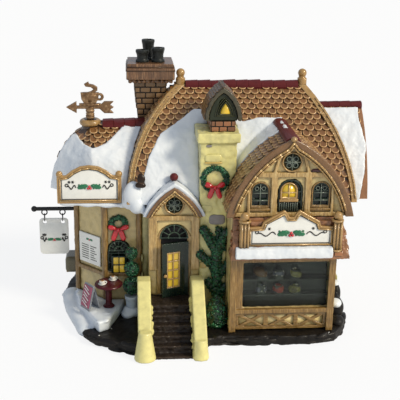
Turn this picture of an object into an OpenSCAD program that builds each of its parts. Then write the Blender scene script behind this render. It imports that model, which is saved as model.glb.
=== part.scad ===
// Lit porcelain village house: a tea room and a bakery on one rocky base.
// Lengths are millimetres. X runs right along the shop fronts, Y to the back, Z up.
// The origin is on the underside of the base, below the main walls.

/* [Base] */
// Width of the rocky base
base_w = 182; // [176:1:196]
// Depth of the rocky base
base_d = 136; // [132:1:146]
// Thickness of the base
base_h = 6; // [4:0.5:8]
// Radius of the opening in the underside
hatch_r = 20; // [12:1:22]

/* [Main house] */
// Width of the main walls
main_w = 124; // [120:1:128]
// Depth of the main walls
main_d = 72; // [68:1:78]
// Height of all the walls up to the eaves
wall_h = 74; // [70:1:80]
// Thickness of the cast walls
wall_t = 3; // [2:0.25:4]
// Height of the main roof above the eaves
roof_rise = 66.5; // [62:0.5:74]
// Thickness of the cast roofs
roof_t = 3; // [2:0.25:4]
// How far the main eaves stand out
eave_over = 8; // [6:0.5:10]
// Length of the main ridge
ridge_len = 78; // [68:1:80]
// Thickness of the snow on the roofs
snow_t = 1.6; // [1:0.1:2.4]

/* [Tea room] */
// Width of the tea room from the main wall to its left side
tea_w = 41; // [38:1:44]
// Depth of the tea room
tea_d = 64; // [60:1:68]
// Length cut off each corner of the tea room's bay
tea_cut = 18; // [14:1:20]
// Height of the tea room's roof above the eaves
tea_rise = 42; // [38:1:46]
// Width of the tea room's sign
tea_sign_w = 39; // [34:1:42]
// Height of the tea room's sign
tea_sign_h = 24; // [20:1:27]

/* [Bakery] */
// Width of the bakery bay
bay_w = 64; // [60:1:68]
// How far the bakery bay stands out from the main wall
bay_d = 32; // [28:1:34]
// Width of the bakery's gabled roof
gable_w = 73.5; // [70:0.5:78]
// Height of the bakery's gable above the eaves
gable_h = 46; // [42:1:50]
// Width of the shop window's opening
shop_w = 53; // [46:1:54]
// Height of the shop window's opening
shop_h = 30; // [26:1:31]
// Width of the bakery's sign
bakery_sign_w = 52; // [46:1:56]
// Height of the bakery's sign
bakery_sign_h = 23; // [20:1:26]

/* [Porch and steps] */
// Width of the porch's walls
porch_w = 31; // [29:1:33]
// How far the porch stands out from the main wall
porch_d = 12; // [10:0.5:14]
// Width of the arched doorway
doorway_w = 21; // [18:0.5:22]
// Height of the arched doorway
doorway_h = 46; // [42:1:48]
// Height of the landing above the ground
landing_z = 22; // [18:1:24]
// Width of the steps
steps_w = 24.5; // [22:0.5:26]
// Number of steps below the landing
step_count = 5; // [4:1:7]
// Depth of one tread
tread = 5.4; // [5:0.1:6]
// Thickness of the walls beside the steps
rail_w = 8; // [6:0.5:8.5]
// How far the door stands open, in degrees
door_angle = 18; // [10:1:40]

/* [Tower and chimney] */
// Width of the stone stair tower
tower_w = 22; // [20:1:23]
// Height of the stair tower above the eaves
tower_rise = 39; // [36:1:42]
// Width of the lantern on the tower
lantern_w = 22; // [19:1:24]
// Height of the lantern
lantern_h = 20; // [17:1:23]
// Width of the chimney stack at its foot
stack_w = 13; // [12:0.5:16]
// Width of the chimney's cap
cap_w = 30; // [26:1:32]
// Height of the front chimney pots
pot_h = 9.2; // [7:0.2:11]

/* [Swinging sign and weathervane] */
// Width of the swinging sign
swing_sign_w = 18.6; // [16:0.2:20]
// Height of the swinging sign
swing_sign_h = 24.6; // [20:0.2:28]
// Distance between the two wire hangers
hanger_span = 11.5; // [9:0.5:12]
// Length of the sign bracket
bracket_len = 27.5; // [26:0.5:29]
// Radius of the weathervane's post
vane_post_r = 2; // [1.6:0.1:2.4]
// Length of the weathervane's arrow
arrow_len = 30; // [26:1:34]

/* [Lamp] */
// Radius of the lamp hole in the back wall
lamp_hole_r = 14.5; // [13:0.25:16]
// Radius of the bulb's screw base
bulb_base_r = 5.95; // [5.5:0.05:6.5]
// Radius of the bulb's glass
bulb_r = 11; // [8:0.5:11.5]
// Radius of the cord inlet
inlet_r = 3; // [2.5:0.1:3.5]

/* [Hidden] */

// General sizes
$fn = 32;
over = 1; // overrun of a cut
far = 200; // reach of a cutting shape
arc_steps = 7; // flats along a curved roof slope
skirt = 12; // how far a roof's cutting shape runs past its eaves and ridge
fit_gap = 0.1; // gap round a piece let into a hole
run_gap = 0.05; // radial gap round a turning post
trim_t = 1.6; // how far trim stands proud of a wall

// Places of the main house
eave_z = base_h + wall_h;
ridge_z = eave_z + roof_rise;
main_left = -38;
main_right = main_left + main_w;
main_front = -22;
main_back = main_front + main_d;
main_cx = main_left + main_w / 2;
main_cy = main_front + main_d / 2;
ridge_shift = 2.5; // the ridge stands right of the middle
ridge_x0 = main_cx + ridge_shift - ridge_len / 2;
ridge_x1 = ridge_x0 + ridge_len;
roof_bulge = 6;
left_bulge = 9.5;
right_bulge = 6.5;
roof_left = main_left - eave_over;
roof_right = main_right + eave_over;
rib_t = 1.2;
rib_w = 2.6;
cap_t = 1;
cap_drop = 2.2;
gable_cap_drop = 1.2;
finial_r = 3;
finial_h = 9;

// Places of the base
base_cx = 2;
base_cy = -10;
base_round = 4;
hatch_x = 58;
hatch_y = 16;
// Outline of the base as shares of its width and depth
base_shares = [[-0.495, 0.118], [-0.473, -0.066], [-0.434, -0.184], [-0.418, -0.294], [-0.379, -0.36],
    [-0.24, -0.463], [-0.02, -0.41], [0.05, -0.382], [0.27, -0.397], [0.374, -0.393], [0.429, -0.368],
    [0.462, -0.301], [0.489, -0.206], [0.5, 0.074], [0.5, 0.368], [0.45, 0.47], [0.209, 0.5],
    [-0.176, 0.493], [-0.374, 0.47], [-0.462, 0.397], [-0.495, 0.257]];

// Places of the tea room
tea_left = main_left - tea_w;
tea_front = -20;
tea_back = tea_front + tea_d;
tea_over = 5;
tea_cy = (tea_front + tea_back) / 2;
tea_ridge_z = eave_z + tea_rise;
tea_tip_in = 11;
tea_ridge_x = tea_left + tea_tip_in;
tea_side_over = 15;
tea_bulge = 7;
tea_end_bulge = 6.5;

// Places of the right wing's roof
side_eave_drop = 3;
side_rise = 55;
side_eave_z = eave_z - side_eave_drop;
side_ridge_z = side_eave_z + side_rise;
side_cy = 17;
side_half_d = 32;
side_w = 20;
side_right = main_right + side_w;
side_bulge = 6;
wing_w = 6;
wing_front = -4;
wing_d = 44;

// Places of the bakery
bay_left = 14;
bay_right = bay_left + bay_w;
bay_front = main_front - bay_d;
front_cx = 48.5;
gable_over = 3;
gable_bulge = 7;
gable_front = bay_front - gable_over;
gable_back = 8;
board_t = 2.4;
board_w = 3.6;
shop_z = 21;
sill_h = 2.6;
canopy_w = 71;
canopy_out = 10;
canopy_front = bay_front - canopy_out;
canopy_z = 56;
canopy_top = 23.5;
sign_out = 8;
sign_y = bay_front - sign_out;
sign_t = 2.2;
sign_z = 63;
frame_w = 1.8;
sign_post_w = 4.4;
sign_post_dx = (bakery_sign_w + sign_post_w) / 2;
sign_post_h = 19;
post_ball_r = 2.4;

// Places of the porch, steps and door
porch_right = -3;
porch_left = porch_right - porch_w;
porch_cx = (porch_left + porch_right) / 2;
porch_front = main_front - porch_d;
porch_eave_drop = 6;
porch_eave_z = eave_z - porch_eave_drop;
porch_side_over = 3.75;
porch_roof_w = porch_w + 2 * porch_side_over;
porch_rise = 21;
porch_bulge = 2.5;
porch_over = 3;
porch_roof_t = 3.6;
foot_z = 1.5;
step_rise = (landing_z - foot_z) / step_count;
steps_shift = 2.5;
landing_d = 17;
seat_d = 2; // how far the steps reach in under the porch
steps_cx = porch_cx - steps_shift;
landing_front = porch_front - landing_d;
steps_front = landing_front - step_count * tread;
door_ring = 2.4;
door_w = 14.5;
door_h = 35.5;
door_t = 2;
transom_h = 37;
hinge_gap = 1.6;

// Places of the tower, lantern and chimney
tower_right = 19;
tower_left = tower_right - tower_w;
tower_cx = (tower_left + tower_right) / 2;
tower_out = 11;
tower_front = main_front - tower_out;
tower_back = -2;
tower_cap_t = 6;
tower_cap_over = 1.8;
tower_top = eave_z + tower_rise;
brick_h = 6.6;
brick_w = 14.4;
brick_in = 1;
lantern_d = 22;
lantern_z = tower_top + tower_cap_t + brick_h;
lantern_in = 2;
lantern_shift = 2.5;
lantern_front = tower_front + lantern_in;
lantern_cx = tower_cx + lantern_shift;
brick_front = lantern_front + brick_in;
stack_x = -31.5;
stack_y = 24;
stack_top_w = 20.6;
stack_foot_share = 6 / 17;
stack_z = eave_z + roof_rise * stack_foot_share;
cap_gap = 0.5;
cap_z = ridge_z + cap_gap;
cap_h = 11.5;
pot_r = 3.4;
pot_flare_r = 4.2;

function arc_pts(a, b, rise, n) =
    let(d = b - a, len = norm(d), u = d / len, v = [-u[1], u[0]],
        r = (len * len / 4 + rise * rise) / (2 * rise), c = (a + b) / 2 - v * (r - rise),
        h = asin(len / 2 / r))
    [for (i = [0 : n]) let(t = -h + 2 * h * i / n) c + r * (v * cos(t) + u * sin(t))];

function scaled(shares, w, h) = [for (p = shares) [p[0] * w, p[1] * h]];

module along_x(x0, x1) translate([x0, 0, 0]) rotate([90, 0, 90]) linear_extrude(x1 - x0) children();
module along_y(y0, y1) translate([0, y1, 0]) rotate([90, 0, 0]) linear_extrude(y1 - y0) children();
module block(lo, hi) translate(lo) cube(hi - lo);

module bar2d(a, b, w) {
    n = [a[1] - b[1], b[0] - a[0]] / norm(b - a) * w / 2;
    polygon([a + n, b + n, b - n, a - n]);
}

module arch2d(w, h) {
    translate([-w / 2, 0]) square([w, h - w / 2]);
    translate([0, h - w / 2]) circle(w / 2);
}

// One roof slope as a long prism: it faces the given angle and starts at the ridge point
module slope(ridge, angle, run, rise, bulge, g, up) {
    translate([ridge[0], ridge[1], 0]) rotate(angle) along_y(-far, far) offset(delta = g)
        polygon(concat([[-far, ridge[2] + up]], up > 0 ? [[0, ridge[2] + up]] : [],
            arc_pts([0, ridge[2]], [run, ridge[2] - rise], bulge, arc_steps),
            [[run, ridge[2] - rise - skirt], [-far, ridge[2] - rise - skirt]]));
}

module above(z) block([-far, -far, z], [far, far, z + far]);

// Front and back slopes of the main roof, grown by g
module main_slopes(g) {
    run = main_d / 2 + eave_over;
    intersection() {
        slope([main_cx, main_cy, ridge_z], -90, run, roof_rise, roof_bulge, g, 0);
        slope([main_cx, main_cy, ridge_z], 90, run, roof_rise, roof_bulge, g, 0);
    }
}

// Left and right hips of the main roof, grown by g
module main_ends(g) {
    intersection() {
        slope([ridge_x0, main_cy, ridge_z], 180, ridge_x0 - roof_left, roof_rise, left_bulge, g, skirt);
        slope([ridge_x1, main_cy, ridge_z], 0, roof_right - ridge_x1, roof_rise, right_bulge, g, skirt);
    }
}

module main_hip(g = 0, z = eave_z) {
    intersection() {
        main_slopes(g);
        main_ends(g);
        above(z);
    }
}

module tea_hip(g = 0, z = eave_z) {
    tip = [tea_ridge_x, tea_cy, tea_ridge_z];
    cut_run = (tea_w + tea_d / 2 - tea_cut - (main_left - tea_ridge_x)) / sqrt(2) + tea_over;
    run = tea_d / 2 + tea_over;
    intersection() {
        slope(tip, -90, run, tea_rise, tea_bulge, g, 0);
        slope(tip, 90, run, tea_rise, tea_bulge, g, 0);
        slope(tip, 180, tea_ridge_x - tea_left + tea_side_over, tea_rise, tea_end_bulge, g, skirt);
        slope(tip, 225, cut_run, tea_rise, tea_bulge, g, skirt);
        slope(tip, 135, cut_run, tea_rise, tea_bulge, g, skirt);
        block([-far, -far, z], [main_cx, far, z + far]);
    }
}

module tea_outline() {
    polygon([[main_left, tea_front], [tea_left + tea_cut, tea_front], [tea_left, tea_front + tea_cut],
        [tea_left, tea_back - tea_cut], [tea_left + tea_cut, tea_back], [main_left, tea_back]]);
}

module gable2d(w, h, bulge) {
    right_arc = arc_pts([0, h], [w / 2, 0], bulge, arc_steps);
    polygon(concat(arc_pts([-w / 2, 0], [0, h], bulge, arc_steps),
        [for (i = [1 : arc_steps]) right_arc[i]], [[w / 2, -skirt], [-w / 2, -skirt]]));
}

module bakery_gable2d(g = 0) translate([front_cx, eave_z]) offset(delta = g)
    gable2d(gable_w, gable_h, gable_bulge);

module porch_gable2d(g = 0) translate([porch_cx, porch_eave_z]) offset(delta = g)
    gable2d(porch_roof_w, porch_rise, porch_bulge);

// The whole space under the bakery's gabled roof, grown by g
module bakery_space(g = 0, front = gable_front) intersection() {
    along_y(front, gable_back) bakery_gable2d(g);
    above(eave_z);
}

module porch_space(g = 0) intersection() {
    along_y(porch_front - porch_over, main_front + over) porch_gable2d(g);
    above(porch_eave_z);
}

module finial_spaces(r) for (x = [ridge_x0, ridge_x1])
    translate([x, main_cy, ridge_z - 2 * finial_r]) cylinder(r = r, h = finial_h + 2 * finial_r);

module steps_notch() block([steps_cx - steps_w / 2 - rail_w, -far, -over],
    [steps_cx + steps_w / 2 + rail_w, porch_front - seat_d, base_h + over]);

module base_slab() {
    color("#32281f") difference() {
        linear_extrude(base_h) translate([base_cx, base_cy]) offset(r = base_round)
            offset(delta = -base_round) polygon(scaled(base_shares, base_w, base_d));
        translate([hatch_x, hatch_y, -over]) cylinder(r = hatch_r, h = base_h + 2 * over);
        steps_notch();
    }
}

// A raised snowy terrace before the tea room, and a low strip of snow along the left edge
terrace_h = 7;
terrace_z = base_h + terrace_h;
strip_h = 1.6;
terrace_w = 36;
terrace_d = 54;
terrace_shares = [[-0.47, -0.07], [-0.105, -0.63], [0.065, -0.56], [0.33, -0.02], [0.33, 0.05],
    [0, 0.05], [-0.55, 0.4]];
strip_shares = [[-0.8, 0.5], [-0.7, -0.02], [-0.52, -0.27], [-0.47, -0.07], [-0.55, 0.4], [-0.52, 0.5]];
module ground_snow() {
    color("#e6ecf0") difference() {
        translate([tea_left + tea_cut, tea_front, base_h]) {
            linear_extrude(terrace_h) polygon(scaled(terrace_shares, terrace_w, terrace_d));
            linear_extrude(strip_h) polygon(scaled(strip_shares, terrace_w, terrace_d));
        }
        linear_extrude(eave_z) tea_outline();
    }
}

module front_steps() {
    top = [for (i = [0 : step_count - 1]) let(y = landing_front - i * tread, z = landing_z - i * step_rise)
        each [[y, z], [y, z - step_rise]]];
    color("#2e2620") along_x(steps_cx - steps_w / 2, steps_cx + steps_w / 2)
        polygon(concat([[porch_front - seat_d, 0], [porch_front - seat_d, base_h], [porch_front, base_h],
            [porch_front, landing_z]], top, [[steps_front, foot_z], [steps_front, 0]]));
}

rail_top = 15;
rail_foot = 11;
rail_nose = 3;
rail_slope_w = 6;
rail_slope_h = 4;
module stair_walls() {
    profile = [[porch_front - seat_d, 0], [porch_front - seat_d, base_h], [porch_front, base_h],
        [porch_front, landing_z + rail_top - rail_slope_h],
        [porch_front - rail_slope_w, landing_z + rail_top],
        [landing_front + rail_nose, landing_z + rail_top], [steps_front - rail_nose / 3, rail_foot],
        [steps_front - rail_nose, 0]];
    color("#e8df95") for (side = [-1, 1])
        translate([steps_cx + side * (steps_w + rail_w) / 2, 0, 0])
            along_x(-rail_w / 2, rail_w / 2) polygon(profile);
}

lamp_x = 20;
lamp_z = 30;
bay_gap = 6; // what stays of the main wall round the ways into the two bays
module main_walls() {
    color("#a9a06a") difference() {
        union() {
            block([main_left, main_front, base_h], [main_right, main_back, eave_z]);
            block([main_right, wing_front, base_h], [main_right + wing_w, wing_front + wing_d, side_eave_z]);
        }
        block([main_left + wall_t, main_front + wall_t, base_h - over],
            [main_right - wall_t, main_back - wall_t, eave_z + over]);
        block([bay_left + bay_gap, main_front - over, base_h + bay_gap],
            [bay_right - bay_gap, main_front + wall_t + over, eave_z - bay_gap]);
        block([main_left - over, tea_front + tea_cut, base_h + bay_gap],
            [main_left + wall_t + over, tea_back - tea_cut, eave_z - bay_gap]);
        translate([lamp_x, main_back + over, lamp_z]) rotate([90, 0, 0])
            cylinder(r = lamp_hole_r, h = wall_t + 2 * over);
    }
}

module main_roof() {
    color("#96714b") difference() {
        main_hip();
        main_hip(-roof_t, eave_z + roof_t);
        block([main_left + wall_t, main_front + wall_t, eave_z - over],
            [main_right - wall_t, main_back - wall_t, eave_z + roof_t + over]);
    }
}

module ridge_cap(x0, x1, y, z, drop) {
    intersection() {
        children();
        block([x0, y - far, z - drop], [x1, y + far, z + far]);
    }
}

module ridge_caps() {
    spot_r = 2.6;
    spot_in = 5;
    spot_rise = 1.8;
    color("#5e2a33") {
        difference() {
            ridge_cap(ridge_x0 + finial_r, ridge_x1 - finial_r, main_cy, ridge_z, cap_drop) main_slopes(cap_t);
            main_slopes(0);
            finial_spaces(finial_r);
        }
        difference() {
            tea_ridge_space();
            tea_hip();
            main_hip();
            chimney_stack_body();
        }
        difference() {
            ridge_cap(main_right - side_w, side_right, side_cy, side_ridge_z, gable_cap_drop)
                side_space(cap_t, side_right);
            side_space(0, side_right);
            main_hip();
        }
        difference() {
            ridge_cap(front_cx - far, front_cx + far, 0, eave_z + gable_h, gable_cap_drop)
                bakery_space(cap_t, gable_front + board_t);
            bakery_space(0, gable_front);
            main_hip();
        }
        difference() {
            translate([porch_cx, porch_front + spot_in, porch_eave_z + porch_rise + spot_rise]) sphere(spot_r);
            porch_space();
        }
    }
}

module roof_finials() {
    ball_r = 2.8;
    neck_r = 2.2;
    neck_h = 1.2;
    color("#a5824b") difference() {
        for (x = [ridge_x0, ridge_x1]) translate([x, main_cy, ridge_z - 2 * finial_r]) {
            cylinder(r = finial_r, h = finial_h);
            translate([0, 0, finial_h]) cylinder(r = neck_r, h = neck_h + ball_r);
            translate([0, 0, finial_h + neck_h + ball_r * 0.7]) sphere(ball_r);
        }
        main_hip();
    }
}

module rib_shell() {
    difference() {
        main_hip(rib_t);
        main_slopes(-rib_w);
        main_ends(-rib_w);
        main_hip();
    }
}

module hip_ribs() {
    color("#a5824b") difference() {
        rib_shell();
        block([ridge_x0 + finial_r, -far, ridge_z - cap_drop], [ridge_x1 - finial_r, far, ridge_z + far]);
        finial_spaces(finial_r);
        side_space(cap_t, side_right);
        tea_hip(cap_t);
        chimney_stack_body();
    }
}

// Snow on the front of the main roof and in the valley beside the bakery's gable
snow_shares = [[-0.449, -0.02], [-0.449, 0.118], [-0.435, 0.235], [-0.41, 0.412], [-0.359, 0.596],
    [-0.283, 0.691], [-0.207, 0.794], [-0.152, 0.794], [-0.014, 0.735], [0.007, 0.691], [0.07, 0.721],
    [0.19, 0.728], [0.172, 0.6], [0.123, 0.524], [0.065, 0.378], [0.04, 0.316], [0, 0.147], [-0.04, -0.02]];
side_snow_w = 32;
side_snow_in = 8;
side_snow_shares = [[-0.5, 0], [-0.5, 1.1], [0.3, 1.1], [0.27, 0.85], [0.36, 0.6], [0.3, 0.3], [0.2, 0]];
snow_back = 8; // how far before the main ridge its snow ends
snow_back_side = 4;
valley_snow_in = 24;
module roof_snow() {
    color("#e4ebf2") {
        difference() {
            intersection() {
                union() {
                    main_hip(snow_t);
                    bakery_space(snow_t, bay_front + valley_snow_in);
                }
                along_y(-far, main_cy - snow_back) translate([main_cx, eave_z])
                    polygon(scaled(snow_shares, main_w + 2 * eave_over, roof_rise));
            }
            main_hip();
            bakery_space(0, gable_front);
            ridge_bakery_space();
            porch_space();
            tower_space(0);
            rib_shell();
            tea_hip(snow_t);
            lantern_space();
        }
        difference() {
            intersection() {
                side_space(snow_t, side_right);
                along_y(-far, side_cy - snow_back_side) translate([main_right + side_snow_in, side_eave_z])
                    polygon(scaled(side_snow_shares, side_snow_w, side_rise));
            }
            side_space(0, side_right);
            main_hip(rib_t);
            block([main_left, main_front, 0], [main_right, main_back, eave_z]);
            above(side_ridge_z - gable_cap_drop);
        }
    }
}

module ridge_bakery_space() intersection() {
    bakery_space(cap_t, gable_front);
    above(eave_z + gable_h - gable_cap_drop);
}

module tea_walls() {
    color("#a5965f") difference() {
        translate([0, 0, base_h]) linear_extrude(wall_h) tea_outline();
        translate([0, 0, base_h - over]) linear_extrude(wall_h + 2 * over)
            offset(delta = -wall_t) tea_outline();
        block([main_left - wall_t - over, tea_front + tea_cut, base_h + bay_gap],
            [main_left + over, tea_back - tea_cut, eave_z - bay_gap]);
        along_y(tea_front - over, tea_front + wall_t + over) translate([tea_window_x, tea_window_z])
            arch2d(tea_window_w, tea_window_h);
    }
}

vane_shift = 1.7;
vane_x = tea_ridge_x - vane_shift;
socket_r = 3.6;
socket_flange_r = 5.5;
socket_low = 9;
socket_high = 1.5;
flange_low = 4.5;
flange_h = 5.25;
module vane_socket_core(r) translate([vane_x, tea_cy, tea_ridge_z - socket_low])
    cylinder(r = r, h = socket_low + socket_high);

module tea_roof() {
    color("#96714b") {
        difference() {
            tea_hip();
            tea_hip(-roof_t, eave_z + roof_t);
            translate([0, 0, eave_z - over]) linear_extrude(roof_t + 2 * over)
                offset(delta = -wall_t) tea_outline();
            main_hip();
            chimney_stack_body();
            vane_socket_core(socket_r);
            translate([vane_x, tea_cy, tea_ridge_z - roof_t]) cylinder(r = socket_r, h = far);
        }
        // Socket of the weathervane, let into the end of the ridge
        difference() {
            union() {
                vane_socket_core(socket_r - fit_gap);
                difference() {
                    translate([vane_x, tea_cy, tea_ridge_z - flange_low])
                        cylinder(r = socket_flange_r, h = flange_h);
                    tea_hip(fit_gap);
                }
            }
            translate([vane_x, tea_cy, tea_ridge_z - socket_low + socket_high])
                cylinder(r = vane_post_r + run_gap, h = far);
        }
    }
}

tea_patch_w = 36;
tea_patch_in = 4;
tea_cap_in = 6;
tea_snow_in = 12;
tea_snow_back = 1;
tea_patch_shares = [[-0.47, 0.81], [-0.3, 1.1], [0.5, 1.1], [0.42, 0.97], [0.27, 0.86], [0.12, 0.76],
    [-0.1, 0.71], [-0.27, 0.735], [-0.4, 0.83]];
module tea_roof_snow() {
    color("#dfe7f0") difference() {
        intersection() {
            tea_hip(snow_t);
            block([-far, -far, eave_z], [main_left + tea_snow_in, tea_cy - tea_snow_back, far]);
        }
        tea_hip();
        main_hip(rib_t);
        along_y(-far, tea_cy) translate([tea_ridge_x + tea_patch_in, eave_z])
            polygon(scaled(tea_patch_shares, tea_patch_w, tea_rise));
        translate([vane_x, tea_cy, 0]) cylinder(r = socket_flange_r + fit_gap, h = far);
        tea_sign_space();
        porch_space();
        tea_ridge_space();
    }
}

module tea_ridge_space() ridge_cap(tea_ridge_x + tea_cap_in, main_left + tea_cap_in, tea_cy, tea_ridge_z,
    cap_drop)
    tea_hip(cap_t);

// The gabled roof of the right wing, as a filled shape
module side_space(g, right) intersection() {
    along_x(main_cx, right) translate([side_cy, side_eave_z]) offset(delta = g)
        gable2d(2 * side_half_d, side_rise, side_bulge);
    above(side_eave_z);
}

module side_roof() {
    color("#96714b") difference() {
        side_space(0, side_right);
        intersection() {
            side_space(-roof_t, side_right - roof_t);
            above(side_eave_z + roof_t);
        }
        main_hip();
        block([main_left, main_front, 0], [main_right, main_back, eave_z]);
        block([main_left - far, -far, 0], [main_right, far, eave_z]);
    }
}

// Openings in the bakery's gable wall: side casements, middle arch and round light
gable_win_z = 5;
gable_win_w = 10.5;
gable_win_h = 15.5;
gable_win_dx = 18;
gable_arch_w = 14.5;
gable_arch_h = 20;
gable_arch_z = 2.5;
casement_bar_shares = [1 / 3, 2 / 3];
arch_bar_shares = [0.3, 0.62];
round_r = 4.8;
round_rim = 1.5;
gable_round_z = 33;
module gable_window_places() for (side = [-1, 1])
    translate([front_cx + side * gable_win_dx, eave_z + gable_win_z]) children();

module bakery_walls() {
    color("#b0a468") {
        difference() {
            block([bay_left, bay_front, base_h], [bay_right, main_front, eave_z]);
            block([bay_left + wall_t, bay_front + wall_t, base_h - over],
                [bay_right - wall_t, main_front + over, eave_z + over]);
            block([front_cx - shop_w / 2, bay_front - over, shop_z],
                [front_cx + shop_w / 2, bay_front + wall_t + over, shop_z + shop_h]);
        }
        difference() {
            intersection() {
                along_y(bay_front, bay_front + wall_t) bakery_gable2d(-roof_t);
                above(eave_z);
            }
            along_y(bay_front - over, bay_front + wall_t + over) {
                gable_window_places() arch2d(gable_win_w, gable_win_h);
                translate([front_cx, eave_z + gable_arch_z]) arch2d(gable_arch_w, gable_arch_h);
                translate([front_cx, eave_z + gable_round_z]) circle(round_r);
            }
        }
    }
}

module bakery_roof() {
    color("#96714b") difference() {
        bakery_space(0, gable_front + board_t);
        along_y(gable_front, gable_back + over) bakery_gable2d(-roof_t);
        main_hip();
    }
}

module bargeboards() {
    color("#a07c45") {
        intersection() {
            along_y(gable_front, gable_front + board_t) difference() {
                bakery_gable2d(0.8 * trim_t);
                bakery_gable2d(-board_w);
            }
            above(eave_z);
        }
        intersection() {
            along_y(porch_front - porch_over - trim_t, porch_front - porch_over) difference() {
                porch_gable2d(-porch_roof_t / 2);
                porch_gable2d(-porch_roof_t - board_w / 2);
            }
            above(porch_eave_z);
        }
    }
}

beam_z = 24;
beam_h = 3;
gable_post_w = 3.6;
gable_post_dx = 10;
strut_gap = 1.5;
gable_strut_dx = gable_win_dx + gable_win_w / 2 + strut_gap;
module gable_timbers() {
    color("#7e5c34") intersection() {
        along_y(bay_front - trim_t, bay_front) difference() {
            intersection() {
                bakery_gable2d(-board_w);
                translate([front_cx, eave_z]) {
                    translate([-gable_w / 2, beam_z]) square([gable_w, beam_h]);
                    translate([-gable_w / 2, 0]) square([gable_w, gable_arch_z]);
                    for (side = [-1, 1]) {
                        translate([side * gable_post_dx - gable_post_w / 2, 0])
                            square([gable_post_w, beam_z + over]);
                        bar2d([side * gable_post_dx, beam_z + beam_h],
                            [side * gable_post_dx * 0.7, gable_round_z + round_r], gable_post_w / 2);
                        bar2d([side * gable_strut_dx, 0], [side * gable_strut_dx, beam_z], gable_post_w / 2);
                    }
                }
            }
            translate([front_cx, eave_z + gable_round_z]) circle(round_r + round_rim);
        }
        above(eave_z);
    }
}

canopy_lip = 3;
canopy_mid_z = 14;
canopy_mid_out = 5;
canopy_top_out = 2;
module canopy_profile() polygon([[bay_front, canopy_z], [canopy_front, canopy_z],
    [canopy_front, canopy_z + canopy_lip], [bay_front - canopy_mid_out, canopy_z + canopy_mid_z],
    [bay_front - canopy_top_out, canopy_z + canopy_top], [bay_front, canopy_z + canopy_top]]);

// Outline of the canopy's front as shares of its width and height
canopy_shares = [[-0.5, 0], [0.5, 0], [0.486, 0.255], [0.444, 1], [-0.472, 1], [-0.486, 0.255]];
module canopy_body() intersection() {
    along_x(front_cx - canopy_w / 2, front_cx + canopy_w / 2) canopy_profile();
    along_y(-far, far) translate([front_cx, canopy_z]) polygon(scaled(canopy_shares, canopy_w, canopy_top));
}

backing_drop = 1;

// Space of the sign and its posts, cut out of the canopy and its snow
module bakery_sign_space() {
    along_y(sign_y, sign_y + sign_t) bakery_sign2d(0);
    bakery_sign_posts();
}

module bakery_sign_backing() block([front_cx - bakery_sign_w / 2 + frame_w, sign_y + sign_t, canopy_z],
    [front_cx + bakery_sign_w / 2 - frame_w, bay_front, canopy_z + canopy_top - backing_drop]);

module shop_canopy() {
    color("#8a6238") difference() {
        union() {
            canopy_body();
            bakery_sign_backing();
        }
        bakery_sign_space();
        along_y(bay_front - trim_t, bay_front) intersection() {
            bakery_gable2d(-roof_t);
            translate([front_cx - gable_w / 2, eave_z]) square([gable_w, gable_h]);
        }
        intersection() {
            bakery_space(trim_t, gable_front);
            above(eave_z);
        }
    }
}

canopy_snow_w = 57.5;
canopy_snow_h = 8;
canopy_snow_t = 2;
canopy_snow_lift = 0.8;
canopy_snow_shift = 4;
module canopy_snow() {
    color("#eef0ec") difference() {
        translate([front_cx - canopy_snow_w / 2 - canopy_snow_shift, 0, 0]) along_x(0, canopy_snow_w)
            polygon([[canopy_front, canopy_z + canopy_snow_lift],
                [canopy_front - canopy_snow_t, canopy_z + 2 * canopy_snow_lift],
                [canopy_front - canopy_snow_t, canopy_z + canopy_snow_h / 2],
                [canopy_front - canopy_snow_t / 2, canopy_z + canopy_snow_h * 0.9],
                [sign_y, canopy_z + canopy_snow_h], [sign_y + sign_t, canopy_z + canopy_snow_h],
                [sign_y + sign_t, canopy_z]]);
        canopy_body();
        bakery_sign_backing();
        bakery_sign_space();
    }
}

shop_post_w = 4;
module shop_window_frame() {
    left = front_cx - shop_w / 2;
    color("#94703a") {
        difference() {
            block([bay_left, bay_front - trim_t, shop_z - sill_h], [bay_right, bay_front, canopy_z]);
            block([left, bay_front - far, shop_z], [left + shop_w, bay_front + over, shop_z + shop_h]);
        }
        for (x = [bay_left, bay_right - shop_post_w])
            block([x, bay_front - 2 * trim_t, base_h], [x + shop_post_w, bay_front - trim_t, canopy_z]);
        block([bay_left + shop_post_w, bay_front - 2 * trim_t, shop_z - sill_h],
            [bay_right - shop_post_w, bay_front - trim_t, shop_z]);
    }
}

glass_t = 1;
module shop_window_glass() {
    color("#3a3f3a") block([front_cx - shop_w / 2, bay_front + glass_t, shop_z],
        [front_cx + shop_w / 2, bay_front + 2 * glass_t, shop_z + shop_h]);
}

shelf_d = 7;
shelf_t = 1.2;
cake_r = 3.3;
cake_h = 5;
cake_pitch = 10.3;
cake_shift = 3.5;
shelf_shares = [0.2, 0.53];
// Two shelves of cakes with the sheet behind them
module cake_display() {
    back_y = bay_front + wall_t + shelf_d;
    color("#8c6a4a") {
        for (share = shelf_shares) translate([0, bay_front + wall_t, shop_z + share * shop_h]) {
            block([bay_left + wall_t, 0, 0], [bay_right - wall_t, shelf_d, shelf_t]);
            for (i = [-1 : 1]) translate([front_cx - cake_shift + i * cake_pitch, shelf_d / 2, shelf_t])
                cylinder(r1 = cake_r, r2 = cake_r * 0.8, h = cake_h);
        }
        block([bay_left + wall_t, back_y, base_h], [bay_right - wall_t, back_y + shelf_t, canopy_z]);
    }
}

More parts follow.
